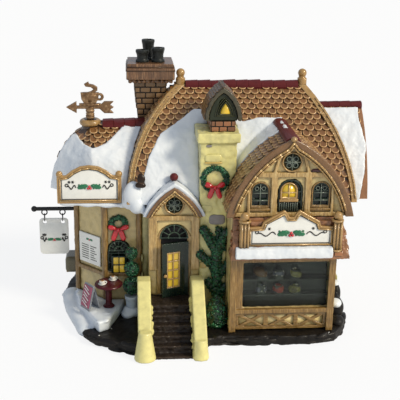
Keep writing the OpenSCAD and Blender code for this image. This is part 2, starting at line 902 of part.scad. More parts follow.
brace_z = 1;
brace_h = 11.4;
brace_bar = 1.8;
bay_count = 3;
module bracing_panel() {
    left = bay_left + shop_post_w;
    bay = (bay_w - 2 * shop_post_w) / bay_count;
    edge = brace_bar / 2;
    color("#94703a") along_y(bay_front - trim_t, bay_front) translate([left, base_h + brace_z]) {
        difference() {
            square([bay * bay_count, brace_h]);
            translate([brace_bar, brace_bar])
                square([bay * bay_count - 2 * brace_bar, brace_h - 2 * brace_bar]);
        }
        for (i = [1 : bay_count - 1]) bar2d([i * bay, 0], [i * bay, brace_h], 1.5 * brace_bar);
        for (i = [0 : bay_count - 1]) translate([i * bay, 0]) {
            bar2d([edge, edge], [bay - edge, brace_h - edge], brace_bar);
            bar2d([edge, brace_h - edge], [bay - edge, edge], brace_bar);
        }
    }
}

bakery_sign_shares = [[-0.5, 0], [-0.5, 0.55], [-0.34, 0.57], [-0.32, 0.7], [-0.09, 1], [-0.05, 0.93],
    [-0.025, 0.82], [0.025, 0.82], [0.05, 0.93], [0.09, 1], [0.32, 0.7], [0.34, 0.57], [0.5, 0.55], [0.5, 0]];
module bakery_sign2d(g) translate([front_cx, sign_z]) offset(delta = g)
    polygon(scaled(bakery_sign_shares, bakery_sign_w, bakery_sign_h));

post_drop = 3;
board_in = 0.3; // how far a sign's board lies behind its frame
module bakery_sign_posts() for (side = [-1, 1])
    translate([front_cx + side * sign_post_dx, sign_y + sign_t / 2, sign_z - post_drop]) {
        block([-sign_post_w / 2, -sign_post_w / 2, 0], [sign_post_w / 2, sign_post_w / 2, sign_post_h]);
        translate([0, 0, sign_post_h + post_ball_r * 0.7]) sphere(post_ball_r);
    }

module bakery_sign_board() {
    color("#ece9df") along_y(sign_y + board_in, sign_y + sign_t) bakery_sign2d(-frame_w);
}

module bakery_sign_frame() {
    color("#a5824b") {
        along_y(sign_y, sign_y + sign_t) difference() {
            bakery_sign2d(0);
            bakery_sign2d(-frame_w);
        }
        bakery_sign_posts();
    }
}

bar_w = 0.8;
rim_w = 1.2;
pane_t = 1;
module leaded(bars_x, bars_z) {
    difference() {
        children(0);
        offset(delta = -rim_w) children(0);
    }
    intersection() {
        children(0);
        union() {
            for (x = bars_x) translate([x - bar_w / 2, -far]) square([bar_w, 2 * far]);
            for (z = bars_z) translate([-far, z - bar_w / 2]) square([2 * far, bar_w]);
        }
    }
}

// A cast window: a thin pane with its rim and glazing bars standing proud of it
module cast_window(y, bars_x, bars_z) {
    along_y(y, y + wall_t / 2) leaded(bars_x, bars_z) children(0);
    along_y(y + wall_t / 2, y + wall_t / 2 + pane_t) children(0);
}

module gable_windows() {
    color("#24352c") {
        for (side = [-1, 1]) translate([front_cx + side * gable_win_dx, 0, eave_z + gable_win_z])
            cast_window(bay_front, [0], casement_bar_shares * gable_win_h) arch2d(gable_win_w, gable_win_h);
        translate([front_cx, 0, eave_z + gable_arch_z])
            cast_window(bay_front, [0], arch_bar_shares * gable_arch_h) arch2d(gable_arch_w, gable_arch_h);
    }
}

porch_round_z = 6.7;
module round_window(x, y, z) translate([x, 0, z]) {
    cast_window(y, [0], [0]) circle(round_r);
    along_y(y - trim_t, y) difference() {
        circle(round_r + round_rim);
        circle(round_r);
    }
}

module round_windows() {
    color("#6b5330") {
        round_window(front_cx, bay_front, eave_z + gable_round_z);
        round_window(porch_cx, porch_front, porch_eave_z + porch_round_z);
    }
}

module porch_walls() {
    color("#b0a468") difference() {
        union() {
            block([porch_left, porch_front, base_h], [porch_right, main_front, porch_eave_z]);
            intersection() {
                along_y(porch_front, porch_front + wall_t) porch_gable2d(-porch_roof_t);
                above(porch_eave_z);
            }
        }
        block([porch_left + wall_t, porch_front + wall_t, landing_z],
            [porch_right - wall_t, main_front + over, porch_eave_z + over]);
        along_y(porch_front - over, porch_front + wall_t + over) {
            translate([porch_cx, landing_z]) arch2d(doorway_w, doorway_h);
            translate([porch_cx, porch_eave_z + porch_round_z]) circle(round_r);
        }
    }
}

module porch_roof() {
    color("#e4ebf2") difference() {
        porch_space();
        along_y(porch_front - porch_over - over, main_front + 2 * over) porch_gable2d(-porch_roof_t);
        main_hip();
        block([porch_left - far, main_front, 0], [porch_right + far, far, eave_z]);
        tea_hip();
        bakery_space();
    }
}

jamb_w = 5;
jamb_z = landing_z + rail_top + trim_t;
module door_frame() {
    color("#7e5c34") {
        along_y(porch_front, porch_front + wall_t) translate([porch_cx, landing_z]) {
            difference() {
                arch2d(doorway_w, doorway_h);
                translate([0, -over]) arch2d(doorway_w - 2 * door_ring, doorway_h - door_ring + over);
            }
            // Transom and the ribs of the fanlight
            translate([-doorway_w / 2 + door_ring / 2, transom_h])
                square([doorway_w - door_ring, door_ring / 2]);
            for (a = [30 : 30 : 150]) intersection() {
                arch2d(doorway_w, doorway_h);
                bar2d([0, transom_h], [0, transom_h] + [cos(a), sin(a)] * doorway_w / 2, bar_w);
            }
        }
        along_y(porch_front - trim_t, porch_front) {
            for (side = [-1, 1]) translate([porch_cx + side * (porch_w - jamb_w) / 2 - jamb_w / 2, jamb_z])
                square([jamb_w, porch_eave_z - beam_h - jamb_z]);
            translate([porch_left, porch_eave_z - beam_h]) square([porch_w, beam_h]);
        }
    }
}

// The door leaf in its own frame: hinge edge at the origin, leaf towards -X
hinge_x = porch_cx + doorway_w / 2 - door_ring - hinge_gap;
module door_place() translate([hinge_x, porch_front - door_t, landing_z]) rotate(door_angle) children();
leaf_border = 3;
module front_door() {
    color("#24352c") {
        door_place() along_y(0, door_t) difference() {
            translate([-door_w, 0]) square([door_w, door_h]);
            translate([-door_w + leaf_border, leaf_border * 2])
                square([door_w - 2 * leaf_border, door_h - 4 * leaf_border]);
        }
        // Hinge stile that joins the leaf to the frame
        translate([hinge_x, porch_front - door_t, landing_z])
            block([-door_t / 5, 0, 0], [door_ring, door_t, door_h]);
    }
}

module door_panes() {
    color("#e0c84a") door_place() along_y(door_t * 0.4, door_t * 0.8)
        translate([-door_w + leaf_border, leaf_border * 2])
            square([door_w - 2 * leaf_border, door_h - 4 * leaf_border]);
}

knob_r = 1.1;
module door_trim() {
    rows = 4;
    w = door_w - 2 * leaf_border;
    h = door_h - 4 * leaf_border;
    color("#b08a3e") door_place() {
        along_y(0, door_t * 0.4) translate([-door_w + leaf_border, leaf_border * 2]) {
            difference() {
                square([w, h]);
                offset(delta = -bar_w) square([w, h]);
            }
            translate([w / 2 - bar_w / 2, 0]) square([bar_w, h]);
            for (i = [1 : rows - 1]) translate([0, h * i / rows - bar_w / 2]) square([w, bar_w]);
        }
        translate([-door_w + leaf_border / 2, -knob_r, door_h * 0.42]) sphere(knob_r);
    }
}

module tower_space(g) {
    block([tower_left - g, tower_front - g, base_h], [tower_right + g, main_front, eave_z]);
    block([tower_left - g, tower_front - g, eave_z], [tower_right + g, tower_back, tower_top]);
    block([tower_left - tower_cap_over - g, tower_front - tower_cap_over - g, tower_top],
        [tower_right + tower_cap_over + g, tower_back, tower_top + tower_cap_t]);
}

module stair_tower() {
    color("#ded18c") difference() {
        tower_space(0);
        main_hip();
        bakery_space(cap_t, gable_front);
        porch_space();
        block([porch_left, porch_front - over, 0], [porch_right, main_front, porch_eave_z]);
        block([bay_left, bay_front, 0], [bay_right, main_front, eave_z]);
    }
}

lantern_skin = 2.4;
lantern_bulge = 3.2;
lantern_recess = 1.5;
lantern_window_d = 1;
lantern_window_w = 5;
lantern_window_h = 8;
lantern_back_t = 1;
module lantern2d(g) translate([lantern_cx, lantern_z]) offset(delta = g)
    gable2d(lantern_w, lantern_h, lantern_bulge);
module lantern_space() {
    along_y(lantern_front, lantern_front + lantern_d) lantern2d(0);
    block([lantern_cx - brick_w / 2, brick_front, tower_top],
        [lantern_cx + brick_w / 2, tower_back, lantern_z]);
}

module lantern_base() {
    z = tower_top + tower_cap_t;
    color("#7a5636") difference() {
        block([lantern_cx - brick_w / 2, brick_front, z], [lantern_cx + brick_w / 2, tower_back, lantern_z]);
        main_hip();
    }
}

module lantern_house() {
    color("#24352c") difference() {
        intersection() {
            along_y(lantern_front + lantern_recess, lantern_front + lantern_d - lantern_back_t)
                lantern2d(-lantern_skin);
            above(lantern_z);
        }
        main_hip();
        along_y(lantern_front, lantern_front + lantern_recess + lantern_window_d)
            translate([lantern_cx, lantern_z + lantern_window_w]) arch2d(lantern_window_w, lantern_window_h);
    }
}

module lantern_roof() {
    color("#6e4a2c") difference() {
        intersection() {
            along_y(lantern_front, lantern_front + lantern_d) lantern2d(0);
            above(lantern_z);
        }
        along_y(lantern_front - over, lantern_front + lantern_d - lantern_back_t) lantern2d(-lantern_skin);
        main_hip();
    }
}

// The tapering stack, which reaches up into its moulded cap
module chimney_stack_body() {
    h = cap_z - stack_z;
    side = [[-stack_w / 2, 0], [stack_w / 2, 0], [stack_top_w / 2, h], [stack_top_w / 2, h + cap_h / 2],
        [-stack_top_w / 2, h + cap_h / 2], [-stack_top_w / 2, h]];
    intersection() {
        translate([stack_x, 0, stack_z]) along_y(stack_y - stack_top_w, stack_y + stack_top_w) polygon(side);
        translate([0, stack_y, stack_z]) along_x(stack_x - stack_top_w, stack_x + stack_top_w) polygon(side);
    }
}

// The cap's four layers: foot, thickness and width as shares of the cap's height and width
cap_shares = [[0, 0.4, 0.833], [0.2, 0.45, 1], [0.5, 0.4, 0.867], [0.8, 0.2, 0.95]];
module cap_layer(foot, h, w) translate([stack_x - w / 2, stack_y - w / 2, cap_z + foot]) cube([w, w, h]);

module chimney_stack() {
    color("#7a5230") difference() {
        union() {
            chimney_stack_body();
            for (s = cap_shares) cap_layer(s[0] * cap_h, s[1] * cap_h, s[2] * cap_w);
        }
        main_hip();
    }
}

module chimney_pot(h) {
    rim = 1.6;
    difference() {
        union() {
            cylinder(r = pot_r, h = h);
            cylinder(r = pot_flare_r, h = rim);
            translate([0, 0, h * 0.55]) cylinder(r1 = pot_r, r2 = pot_flare_r, h = h * 0.45 - rim / 2);
            translate([0, 0, h - rim]) cylinder(r = pot_flare_r, h = rim);
        }
        translate([0, 0, rim]) cylinder(r = pot_r - rim / 2, h = h);
    }
}

module chimney_pots() {
    spread = 5;
    back_shift = 1;
    color("#262824") translate([stack_x, stack_y, cap_z + cap_h]) {
        for (side = [-1, 1]) translate([side * spread, -spread, 0]) chimney_pot(side < 0 ? pot_h * 0.85 : pot_h);
        translate([-back_shift, spread, 0]) chimney_pot(pot_h * 1.4);
    }
}

tea_window_x = -52.5;
tea_window_z = 32;
tea_window_w = 14;
tea_window_h = 21;
tea_bar_shares = [0.28, 0.58];
module tea_window() {
    color("#24352c") translate([tea_window_x, 0, tea_window_z])
        cast_window(tea_front, [0], tea_bar_shares * tea_window_h) arch2d(tea_window_w, tea_window_h);
}

tea_belt = 1.5;
belt_h = 2.6;
belt_drop = 3;
belt_z = tea_window_z - belt_drop;
top_belt_drop = 4;
top_belt_z = eave_z - top_belt_drop;
post_r = 2.1;
box_out = 8;
box_in = 2;
box_w = 14;
box_h = 9.8;
box_drop = 5.5;
module tea_timbers() {
    corners = [[tea_left + tea_cut, tea_front], [tea_left, tea_front + tea_cut],
        [main_left - tea_belt, tea_front]];
    color("#8a6a3a") {
        difference() {
            union() {
                for (z = [belt_z, top_belt_z]) translate([0, 0, z]) linear_extrude(belt_h)
                    offset(delta = tea_belt) tea_outline();
                for (c = corners) translate([c[0], c[1], terrace_z])
                    cylinder(r = post_r, h = top_belt_z + belt_h - terrace_z);
                // Box on the left wall
                translate([tea_left, tea_front + tea_cut + box_in, belt_z - box_drop])
                    block([-box_out, 0, 0], [0, box_w, box_h]);
            }
            translate([0, 0, base_h - over]) linear_extrude(wall_h + 2 * over) tea_outline();
            block([main_left, -far, 0], [far, far, far]);
            along_y(-far, tea_cy) translate([tea_window_x, tea_window_z]) offset(delta = 2 * fit_gap)
                arch2d(tea_window_w, tea_window_h);
        }
    }
}

tea_sign_shares = [[-0.5, 0], [-0.5, 0.7], [-0.36, 0.74], [-0.27, 0.86], [-0.14, 0.97], [0, 1], [0.14, 0.97],
    [0.27, 0.86], [0.36, 0.74], [0.5, 0.7], [0.5, 0]];
tea_sign_x = -69.7;
tea_sign_gap = 0.6;
tea_sign_y = tea_front - tea_over - tea_sign_gap;
module tea_sign2d(g) translate([tea_sign_x, eave_z - tea_sign_gap]) offset(delta = g)
    polygon(scaled(tea_sign_shares, tea_sign_w, tea_sign_h));
module tea_sign_space() along_y(tea_sign_y - over, tea_sign_y + sign_t) tea_sign2d(0);

module tea_sign_board() {
    color("#e8ebe8") difference() {
        along_y(tea_sign_y + board_in, tea_sign_y + sign_t) tea_sign2d(-frame_w);
        tea_hip();
    }
}

tea_ball_r = 2.1;
tea_ball_in = 1.6;
module tea_sign_frame() {
    color("#a5824b") difference() {
        union() {
            along_y(tea_sign_y, tea_sign_y + sign_t) difference() {
                tea_sign2d(0);
                tea_sign2d(-frame_w);
            }
            for (side = [-1, 1]) translate([tea_sign_x + side * (tea_sign_w / 2 - tea_ball_in),
                tea_sign_y + sign_t / 2, eave_z + tea_sign_h * 0.74]) sphere(tea_ball_r);
        }
        tea_hip();
    }
}

menu_w = 19;
menu_h = 20;
menu_z = 34;
menu_t = 1;
menu_shift = 0.6;
module menu_board() {
    color("#e9e9e2") translate([tea_left + tea_cut / 2, tea_front + tea_cut / 2, menu_z]) rotate(-45)
        block([-menu_w / 2 - menu_shift, -menu_t, 0], [menu_w / 2 - menu_shift, 0, menu_h]);
}

// Wreaths on the tower and over the tea room's window
tower_wreath_z = 96.5;
tower_wreath_r = 7;
tower_wreath_shift = 2;
tea_wreath_z = 64;
tea_wreath_r = 4.2;
tower_bow_w = 11.2;
tower_bow_drop = 5.6;
tea_bow_w = 11.5;
tea_bow_drop = 4.4;
wreath_places = [[tower_cx - tower_wreath_shift, tower_front, tower_wreath_z, tower_wreath_r, tower_bow_w,
    tower_bow_drop], [tea_window_x, tea_front, tea_wreath_z, tea_wreath_r, tea_bow_w, tea_bow_drop]];
wreath_tube = 1.5;
module wreaths() {
    color("#14503a") for (w = wreath_places) translate([w[0], w[1], w[2]]) rotate([90, 0, 0]) difference() {
        rotate_extrude() translate([w[3], 0]) circle(wreath_tube);
        translate([-far, -far, -far]) cube([2 * far, 2 * far, far]);
        translate([-w[3] * 0.55, -2 * w[3], -over]) cube([w[3] * 1.1, w[3] * 1.6, far]);
        translate([0, -w[5], -over]) linear_extrude(far) bow2d(w);
    }
}

bow_shares = [[0, 0.1], [-0.5, 0.42], [-0.5, -0.05], [-0.14, -0.02], [-0.42, -0.58], [-0.16, -0.5],
    [0, -0.12],    [0.16, -0.5], [0.42, -0.58], [0.14, -0.02], [0.5, -0.05], [0.5, 0.42]];
bow_t = 1.8;
module bow2d(w) polygon(scaled(bow_shares, w[4], w[4]));
module bows() {
    color("#c8202c") for (w = wreath_places)
        along_y(w[1] - bow_t, w[1]) translate([w[0], w[2] - w[5]]) bow2d(w);
}

ivy_t = 2;
ivy_branch_w = 3.2;
ivy_branch_shares = [[[0, 0], [0.08, 1]], [[0.06, 0.34], [-0.64, 0.6]], [[0.09, 0.6], [-0.6, 0.94]],
    [[-0.03, 0.15], [0.3, 0.46]], [[-0.02, 0.47], [0.29, 0.77]]];
ivy_w = 13;
ivy_h = 45;
bush_r = 8.2;
bush_h = 21;
module ivy_and_bush() {
    color("#145038") {
        along_y(tower_front - ivy_t, tower_front) translate([tower_cx, landing_z - ivy_t])
            offset(delta = ivy_branch_w / 4) for (b = ivy_branch_shares) {
                ends = scaled(b, ivy_w, ivy_h);
                bar2d(ends[0], ends[1], ivy_branch_w / 2);
            }
        translate([bay_left - bush_r * 0.8 - fit_gap, bay_front + bush_r * 0.8, base_h]) rotate_extrude()
            polygon(concat([[0, 0]], arc_pts([0, bush_h], [bush_r * 0.6, 0], bush_r * 0.45, arc_steps)));
    }
}

topiary_x = -44.5;
topiary_y = -28;
topiary_stem_r = 0.9;
topiary_ball_r = 5.4;
topiary_h = 51.1;
// Heights and radii of the balls as shares of the tree's height and the lowest ball's radius
topiary_shares = [[0.501, 1], [0.72, 0.852], [0.928, 0.685]];
topiary_pot_h = 13;
topiary_pot_r = 4.2;
pot_rim_h = 2;
pot_rim_out = 0.4;
module topiary_tree() {
    color("#16573a") translate([topiary_x, topiary_y, 0]) {
        for (b = topiary_shares) translate([0, 0, b[0] * topiary_h]) sphere(b[1] * topiary_ball_r);
        translate([0, 0, base_h + topiary_pot_h])
            cylinder(r = topiary_stem_r, h = topiary_h * 0.96 - base_h - topiary_pot_h);
    }
}

module topiary_pot() {
    color("#aab4b4") translate([topiary_x, topiary_y, base_h]) {
        cylinder(r1 = topiary_pot_r * 0.75, r2 = topiary_pot_r, h = topiary_pot_h - pot_rim_h);
        translate([0, 0, topiary_pot_h - pot_rim_h]) cylinder(r = topiary_pot_r + pot_rim_out, h = pot_rim_h);
    }
}

table_x = -59;
table_y = -31;
table_r = 9;
table_h = 16;
module cafe_table() {
    top_t = 2.4;
    leg_r = 2;
    color("#5a1a26") translate([table_x, table_y, terrace_z]) rotate_extrude() polygon([[0, 0],
        [2 * leg_r, 0], [leg_r * 1.6, leg_r / 2], [leg_r, leg_r], [leg_r, table_h - 2 * top_t],
        [table_r - top_t, table_h - top_t], [table_r, table_h - top_t / 2],
        [table_r - top_t / 3, table_h], [0, table_h]]);
}

// Places of the cups as shares of the table's radius
cup_shares = [[-0.44, -0.24], [0.29, 0.49]];
module cups() {
    cup_r = 1.7;
    cup_h = 2.4;
    color("#ecebe4") for (p = cup_shares * table_r)
        translate([table_x + p[0], table_y + p[1], terrace_z + table_h])
            cylinder(r1 = cup_r * 0.7, r2 = cup_r, h = cup_h);
}

easel_w = 10;
easel_h = 16;
easel_t = 1.2;
easel_lean = 14;
easel_x = -70.5;
easel_y = -32;
easel_angle = -55;
module sandwich_board() {
    color("#a04a5c") translate([easel_x, easel_y, terrace_z]) rotate(easel_angle) intersection() {
        for (side = [-1, 1]) translate([0, side * easel_h * sin(easel_lean), 0])
            rotate([side * easel_lean, 0, 0]) block([-easel_w / 2, -easel_t / 2, -over],
                [easel_w / 2, easel_t / 2, easel_h]);
        above(0);
    }
}

// Bracket with two eyes, wire hangers and the swinging sign
bracket_y = 3;
bracket_z = 66.5;
rod_r = 1.25;
eye_r = 1.7;
eye_wire = 0.4;
link_wire = 0.25;
link_half = 1.3;
link_rest = 0.1;
hang_out = 15.3;
hang_x = tea_left - hang_out;
eye_sunk = 0.6;
eye_z = bracket_z - rod_r - eye_r + eye_sunk;
pivot_z = eye_z - eye_r;
link_len = 4.3;
sign_pivot_z = pivot_z - link_len;
board_hole_r = 1.3;
board_hole_drop = 0.75;
board_top = 1.15;
swing_t = 1;
hanger_xs = [hang_x - hanger_span / 2, hang_x + hanger_span / 2];

module sign_bracket() {
    tip = tea_left - bracket_len;
    plate_t = 1.2;
    color("#1c1c1c") {
        translate([tip, bracket_y, bracket_z]) rotate([0, 90, 0]) cylinder(r = rod_r, h = bracket_len);
        translate([tip, bracket_y, bracket_z]) sphere(rod_r * 1.5);
        translate([tea_left - plate_t, bracket_y, bracket_z]) rotate([0, 90, 0])
            cylinder(r = rod_r * 2, h = plate_t);
        for (x = hanger_xs) translate([x, bracket_y, eye_z]) rotate([90, 0, 0]) rotate_extrude()
            translate([eye_r, 0]) circle(eye_wire);
    }
}

// One wire hanger: two half rings and two straight sides, in the YZ plane
module wire_link() {
    r = link_half + link_wire;
    high = pivot_z + eye_wire + link_rest - link_half;
    low = sign_pivot_z + r;
    for (end = [[high, 0], [low, 1]]) translate([0, 0, end[0]]) intersection() {
        rotate([0, 90, 0]) rotate_extrude() translate([r, 0]) circle(link_wire);
        mirror([0, 0, end[1]]) block([-far, -far, 0], [far, far, far]);
    }
    for (side = [-1, 1]) translate([0, side * r, low]) cylinder(r = link_wire, h = high - low);
}

module hanger_links() {
    color("#8a8f94") for (x = hanger_xs) translate([x, bracket_y, 0]) wire_link();
}

module swinging_sign() {
    hole_z = sign_pivot_z + board_hole_drop - board_hole_r;
    top_z = sign_pivot_z + board_hole_drop + board_top;
    corner = 2.5;
    color("#eeeeea") translate([hang_x, 0, 0]) difference() {
        along_y(bracket_y - swing_t / 2, bracket_y + swing_t / 2) translate([0, top_z - swing_sign_h / 2])
            offset(r = corner) square([swing_sign_w - 2 * corner, swing_sign_h - 2 * corner], center = true);
        for (x = hanger_xs) translate([x - hang_x, bracket_y + swing_t, hole_z]) rotate([90, 0, 0])
            cylinder(r = board_hole_r, h = 2 * swing_t);
    }
}

vane_rest = 0.1;
vane_low = tea_ridge_z - socket_low + socket_high + vane_rest;
arrow_rise = 9;
arrow_z = tea_ridge_z + arrow_rise;
vane_t = 2.4;
arrow_shares = [[-0.5, 0], [-0.28, 0.5], [-0.28, 0.13], [0.2, 0.13], [0.3, 0.5], [0.5, 0.5], [0.42, 0.2],
    [0.5, 0], [0.42, -0.2], [0.5, -0.5], [0.3, -0.5], [0.2, -0.13], [-0.28, -0.13], [-0.28, -0.5]];
vane_cup_shares = [[-0.32, 0], [-0.46, 0.4], [-0.5, 1], [0.5, 1], [0.46, 0.4], [0.32, 0]];
steam_shares = [[-0.3, 0], [0.1, 0.12], [0.35, 0.3], [0.1, 0.5], [-0.35, 0.55], [-0.5, 0.78], [-0.1, 1],
    [-0.05, 0.8], [0.35, 0.72], [0.7, 0.5], [0.7, 0.2], [0.4, 0]];
module weathervane() {
    arrow_h = 7.6;
    cup_w = 11.5;
    cup_hgt = 7;
    saucer_w = 13.5;
    handle_r = 2.3;
    collar_r = 2.8;
    collar_h = 1.2;
    collar_gap = 1.4;
    saucer_gap = 0.7;
    saucer_h = 1.8;
    steam_w = 7;
    cup_z = arrow_z + saucer_gap + saucer_h - vane_rest;
    color("#8f7040") translate([vane_x, tea_cy, 0]) {
        translate([0, 0, vane_low]) cylinder(r = vane_post_r, h = arrow_z - vane_low);
        for (z = [tea_ridge_z + socket_high + collar_gap, arrow_z - 2 * collar_gap - vane_rest])
            translate([0, 0, z]) cylinder(r = collar_r, h = collar_h);
        along_y(-vane_t / 2, vane_t / 2) {
            translate([0, arrow_z]) polygon(scaled(arrow_shares, arrow_len, arrow_h));
            translate([-saucer_w / 2, arrow_z + saucer_gap]) square([saucer_w, saucer_h]);
            translate([0, cup_z]) polygon(scaled(vane_cup_shares, cup_w, cup_hgt));
            translate([cup_w / 2, cup_z + cup_hgt * 0.6]) difference() {
                circle(handle_r);
                circle(handle_r / 2);
            }
            translate([0, cup_z + cup_hgt - vane_rest]) polygon(scaled(steam_shares, steam_w, steam_w));
        }
    }
}

// Clip-in lamp: holder with spring clips, bulb base and bulb glass, along Y
flange_t = 2;
boss_len = 8;
boss_r = 5.2;
holder_len = 26;
holder_r = 9;
holder_gap = 0.3;
socket_depth = 20;
base_len = 16;
glass_len = 32;
flange_over = 2.5;
seat_gap = 1;
module on_lamp_axis(y) translate([lamp_x, y, lamp_z]) rotate([90, 0, 0]) children();

module lamp_holder() {
    neck = wall_t;
    clip_w = 5;
    clip_t = 1;
    clip_len = 14;
    clip_gap = 0.5;
    clip_r = lamp_hole_r - clip_gap;
    color("#f0eee6") {
        difference() {
            union() {
                on_lamp_axis(main_back + flange_t) cylinder(r = lamp_hole_r + flange_over, h = flange_t);
                on_lamp_axis(main_back) cylinder(r = lamp_hole_r - holder_gap, h = neck);
                on_lamp_axis(main_back) cylinder(r = holder_r, h = holder_len);
                on_lamp_axis(main_back + flange_t + boss_len) cylinder(r = boss_r, h = boss_len);
            }
            on_lamp_axis(main_back - holder_len + socket_depth)
                cylinder(r = bulb_base_r + run_gap, h = socket_depth + over);
            on_lamp_axis(main_back + flange_t + boss_len + over) cylinder(r = inlet_r, h = boss_len + over);
        }
        // Two spring clips that snap behind the wall
        for (turn = [0, 180]) translate([lamp_x, main_back - neck, lamp_z]) rotate([0, turn, 0]) {
            block([holder_r - over, -clip_t, -clip_w / 2], [clip_r, 0, clip_w / 2]);
            block([clip_r - clip_t, -clip_len, -clip_w / 2], [clip_r, 0, clip_w / 2]);
        }
    }
}

bulb_y = main_back - holder_len - seat_gap;
module bulb_base() {
    color("#b99a55") on_lamp_axis(bulb_y + base_len) cylinder(r = bulb_base_r, h = base_len);
}

module bulb_glass() {
    color("#f4f0dc") on_lamp_axis(bulb_y) rotate_extrude() polygon(concat([[0, 0], [bulb_base_r, 0]],
        arc_pts([bulb_base_r * 0.98, seat_gap], [0, glass_len], -bulb_r * 0.62, 2 * arc_steps)));
}

base_slab();
ground_snow();
front_steps();
stair_walls();
main_walls();
main_roof();
ridge_caps();
roof_finials();
hip_ribs();
roof_snow();
tea_walls();
tea_roof();
tea_roof_snow();
side_roof();
bakery_walls();
bakery_roof();
bargeboards();
gable_timbers();
shop_canopy();
canopy_snow();
shop_window_frame();
shop_window_glass();
cake_display();
bracing_panel();
bakery_sign_board();
bakery_sign_frame();
gable_windows();
round_windows();
porch_walls();
porch_roof();
door_frame();
front_door();
door_panes();
door_trim();
stair_tower();
lantern_base();
lantern_house();
lantern_roof();
chimney_stack();
chimney_pots();
tea_window();
tea_timbers();
tea_sign_board();
tea_sign_frame();
menu_board();
wreaths();
bows();
ivy_and_bush();
topiary_tree();
topiary_pot();
cafe_table();
cups();
sandwich_board();
sign_bracket();
hanger_links();
swinging_sign();
weathervane();
lamp_holder();
bulb_base();
bulb_glass();
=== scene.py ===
"""Looks of the lit porcelain village house: glazes, shingles, snow, bricks and greenery on its frame."""

import math
import random

import bmesh
import bpy
from bpy.props import FloatProperty, FloatVectorProperty, IntProperty, PointerProperty
from mathutils import Matrix, Vector
from mathutils.bvhtree import BVHTree


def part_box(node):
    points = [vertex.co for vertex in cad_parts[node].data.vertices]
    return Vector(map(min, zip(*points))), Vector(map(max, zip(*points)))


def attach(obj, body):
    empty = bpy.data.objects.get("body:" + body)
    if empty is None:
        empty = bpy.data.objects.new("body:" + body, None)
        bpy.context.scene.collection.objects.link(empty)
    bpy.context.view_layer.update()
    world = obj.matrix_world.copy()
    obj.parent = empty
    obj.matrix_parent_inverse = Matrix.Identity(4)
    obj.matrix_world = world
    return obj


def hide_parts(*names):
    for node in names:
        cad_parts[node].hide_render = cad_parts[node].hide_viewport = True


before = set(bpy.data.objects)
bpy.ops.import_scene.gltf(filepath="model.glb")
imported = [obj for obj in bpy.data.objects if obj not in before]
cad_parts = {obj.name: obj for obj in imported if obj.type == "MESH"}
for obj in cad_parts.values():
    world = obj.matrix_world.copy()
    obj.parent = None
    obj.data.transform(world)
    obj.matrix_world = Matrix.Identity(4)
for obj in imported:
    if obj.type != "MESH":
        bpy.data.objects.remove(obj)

bl_info = {
    "name": "Porcelain Village House",
    "version": (1, 0, 0),
    "blender": (4, 5, 0),
    "location": "View3D > Sidebar > Village",
    "description": "Glazes and dresses a lit porcelain village house",
    "category": "Object",
}

MM = 0.001
UP = Vector((0, 0, 1))
FRONT, BACK = Vector((0, -1, 0)), Vector((0, 1, 0))
LEFT, RIGHT = Vector((-1, 0, 0)), Vector((1, 0, 0))
SIDES = (FRONT, BACK, LEFT, RIGHT)
HOUSE = "house"
# Where the weathervane's axis stands
VANE_AXIS = Vector((-69.7, 12, 0)) * MM
# Corners closer together than this are joined
MERGE = 0.002 * MM
# Sockets of the colour mixer: its share and its two colours
MIX_SOCKETS = (0, 6, 7)
# How far a shingle or brick strays from its place, as a share of its size
JITTER = 0.05


def at(*numbers):
    """A place or a size given in millimetres."""
    return Vector(numbers) * MM


def hue(red, green, blue):
    """A colour given as it shows on a screen, 0 to 255, in the linear values that shaders use."""
    shares = (red / 255, green / 255, blue / 255)
    return tuple(share / 12.92 if share < 0.0404 else ((share + 0.055) / 1.055) ** 2.4 for share in shares)


def colour_property(name, red, green, blue):
    """A colour of the house that a user can change."""
    return FloatVectorProperty(name=name, description=f"Colour of the {name.lower()}", subtype="COLOR",
                               size=3, min=0, max=1, default=hue(red, green, blue))


def length_property(name, description, default_mm):
    """A length that a user can change."""
    return FloatProperty(name=name, description=description, default=default_mm * MM, min=0.01 * MM,
                         unit="LENGTH", precision=5)


def angle_property(name, description, degrees):
    """An angle that a user can change."""
    return FloatProperty(name=name, description=description, default=math.radians(degrees), unit="ROTATION")


# Sizes and colours that a user would change
class VillageColours(bpy.types.PropertyGroup):
    snow: colour_property("Snow", 228, 232, 236)
    shingle: colour_property("Shingles", 130, 88, 46)
    # The gap colour is also painted shade on the shingles, and the edge colour their dry brush and painted
    # highlight
    shingle_gap_and_shade: colour_property("Gaps and painted shade between shingles", 60, 38, 22)
    shingle_edge_highlight: colour_property("Shingle edges, dry-brushed with painted highlight", 220, 178, 122)
    burgundy: colour_property("Ridge tiles", 92, 26, 26)
    gold: colour_property("Gold trim", 172, 134, 78)
    timber: colour_property("Timbers", 134, 102, 50)
    gable_plaster: colour_property("Bakery and porch plaster", 216, 192, 130)
    tea_plaster: colour_property("Tea room plaster", 204, 182, 124)
    house_plaster: colour_property("Main walls", 176, 168, 112)
    cream: colour_property("Stair tower and stair walls", 224, 214, 142)
    brick: colour_property("Bricks", 142, 92, 56)
    rock: colour_property("Rocky base", 20, 17, 15)
    green: colour_property("Doors and windows", 22, 36, 29)
    leaf: colour_property("Leaves", 12, 62, 38)
    red: colour_property("Bows", 206, 30, 42)
    maroon: colour_property("Cafe table", 74, 20, 28)
    white: colour_property("Sign boards", 236, 235, 228)
    lit: colour_property("Lit panes", 214, 178, 54)


class VillageSizes(bpy.types.PropertyGroup):
    tile_width: length_property("Shingle width", "Width of one shingle", 5.1)
    tile_course: length_property("Shingle course", "Distance from one course of shingles to the next", 3.7)
    tile_proud: length_property("Shingle thickness", "How far a shingle stands proud of the roof", 0.85)
    brick_length: length_property("Brick length", "Length of a brick", 6.0)
    brick_height: length_property("Brick height", "Height of a brick course", 2.9)
    leaf_length: length_property("Leaf length", "Length of a leaf", 3.0)


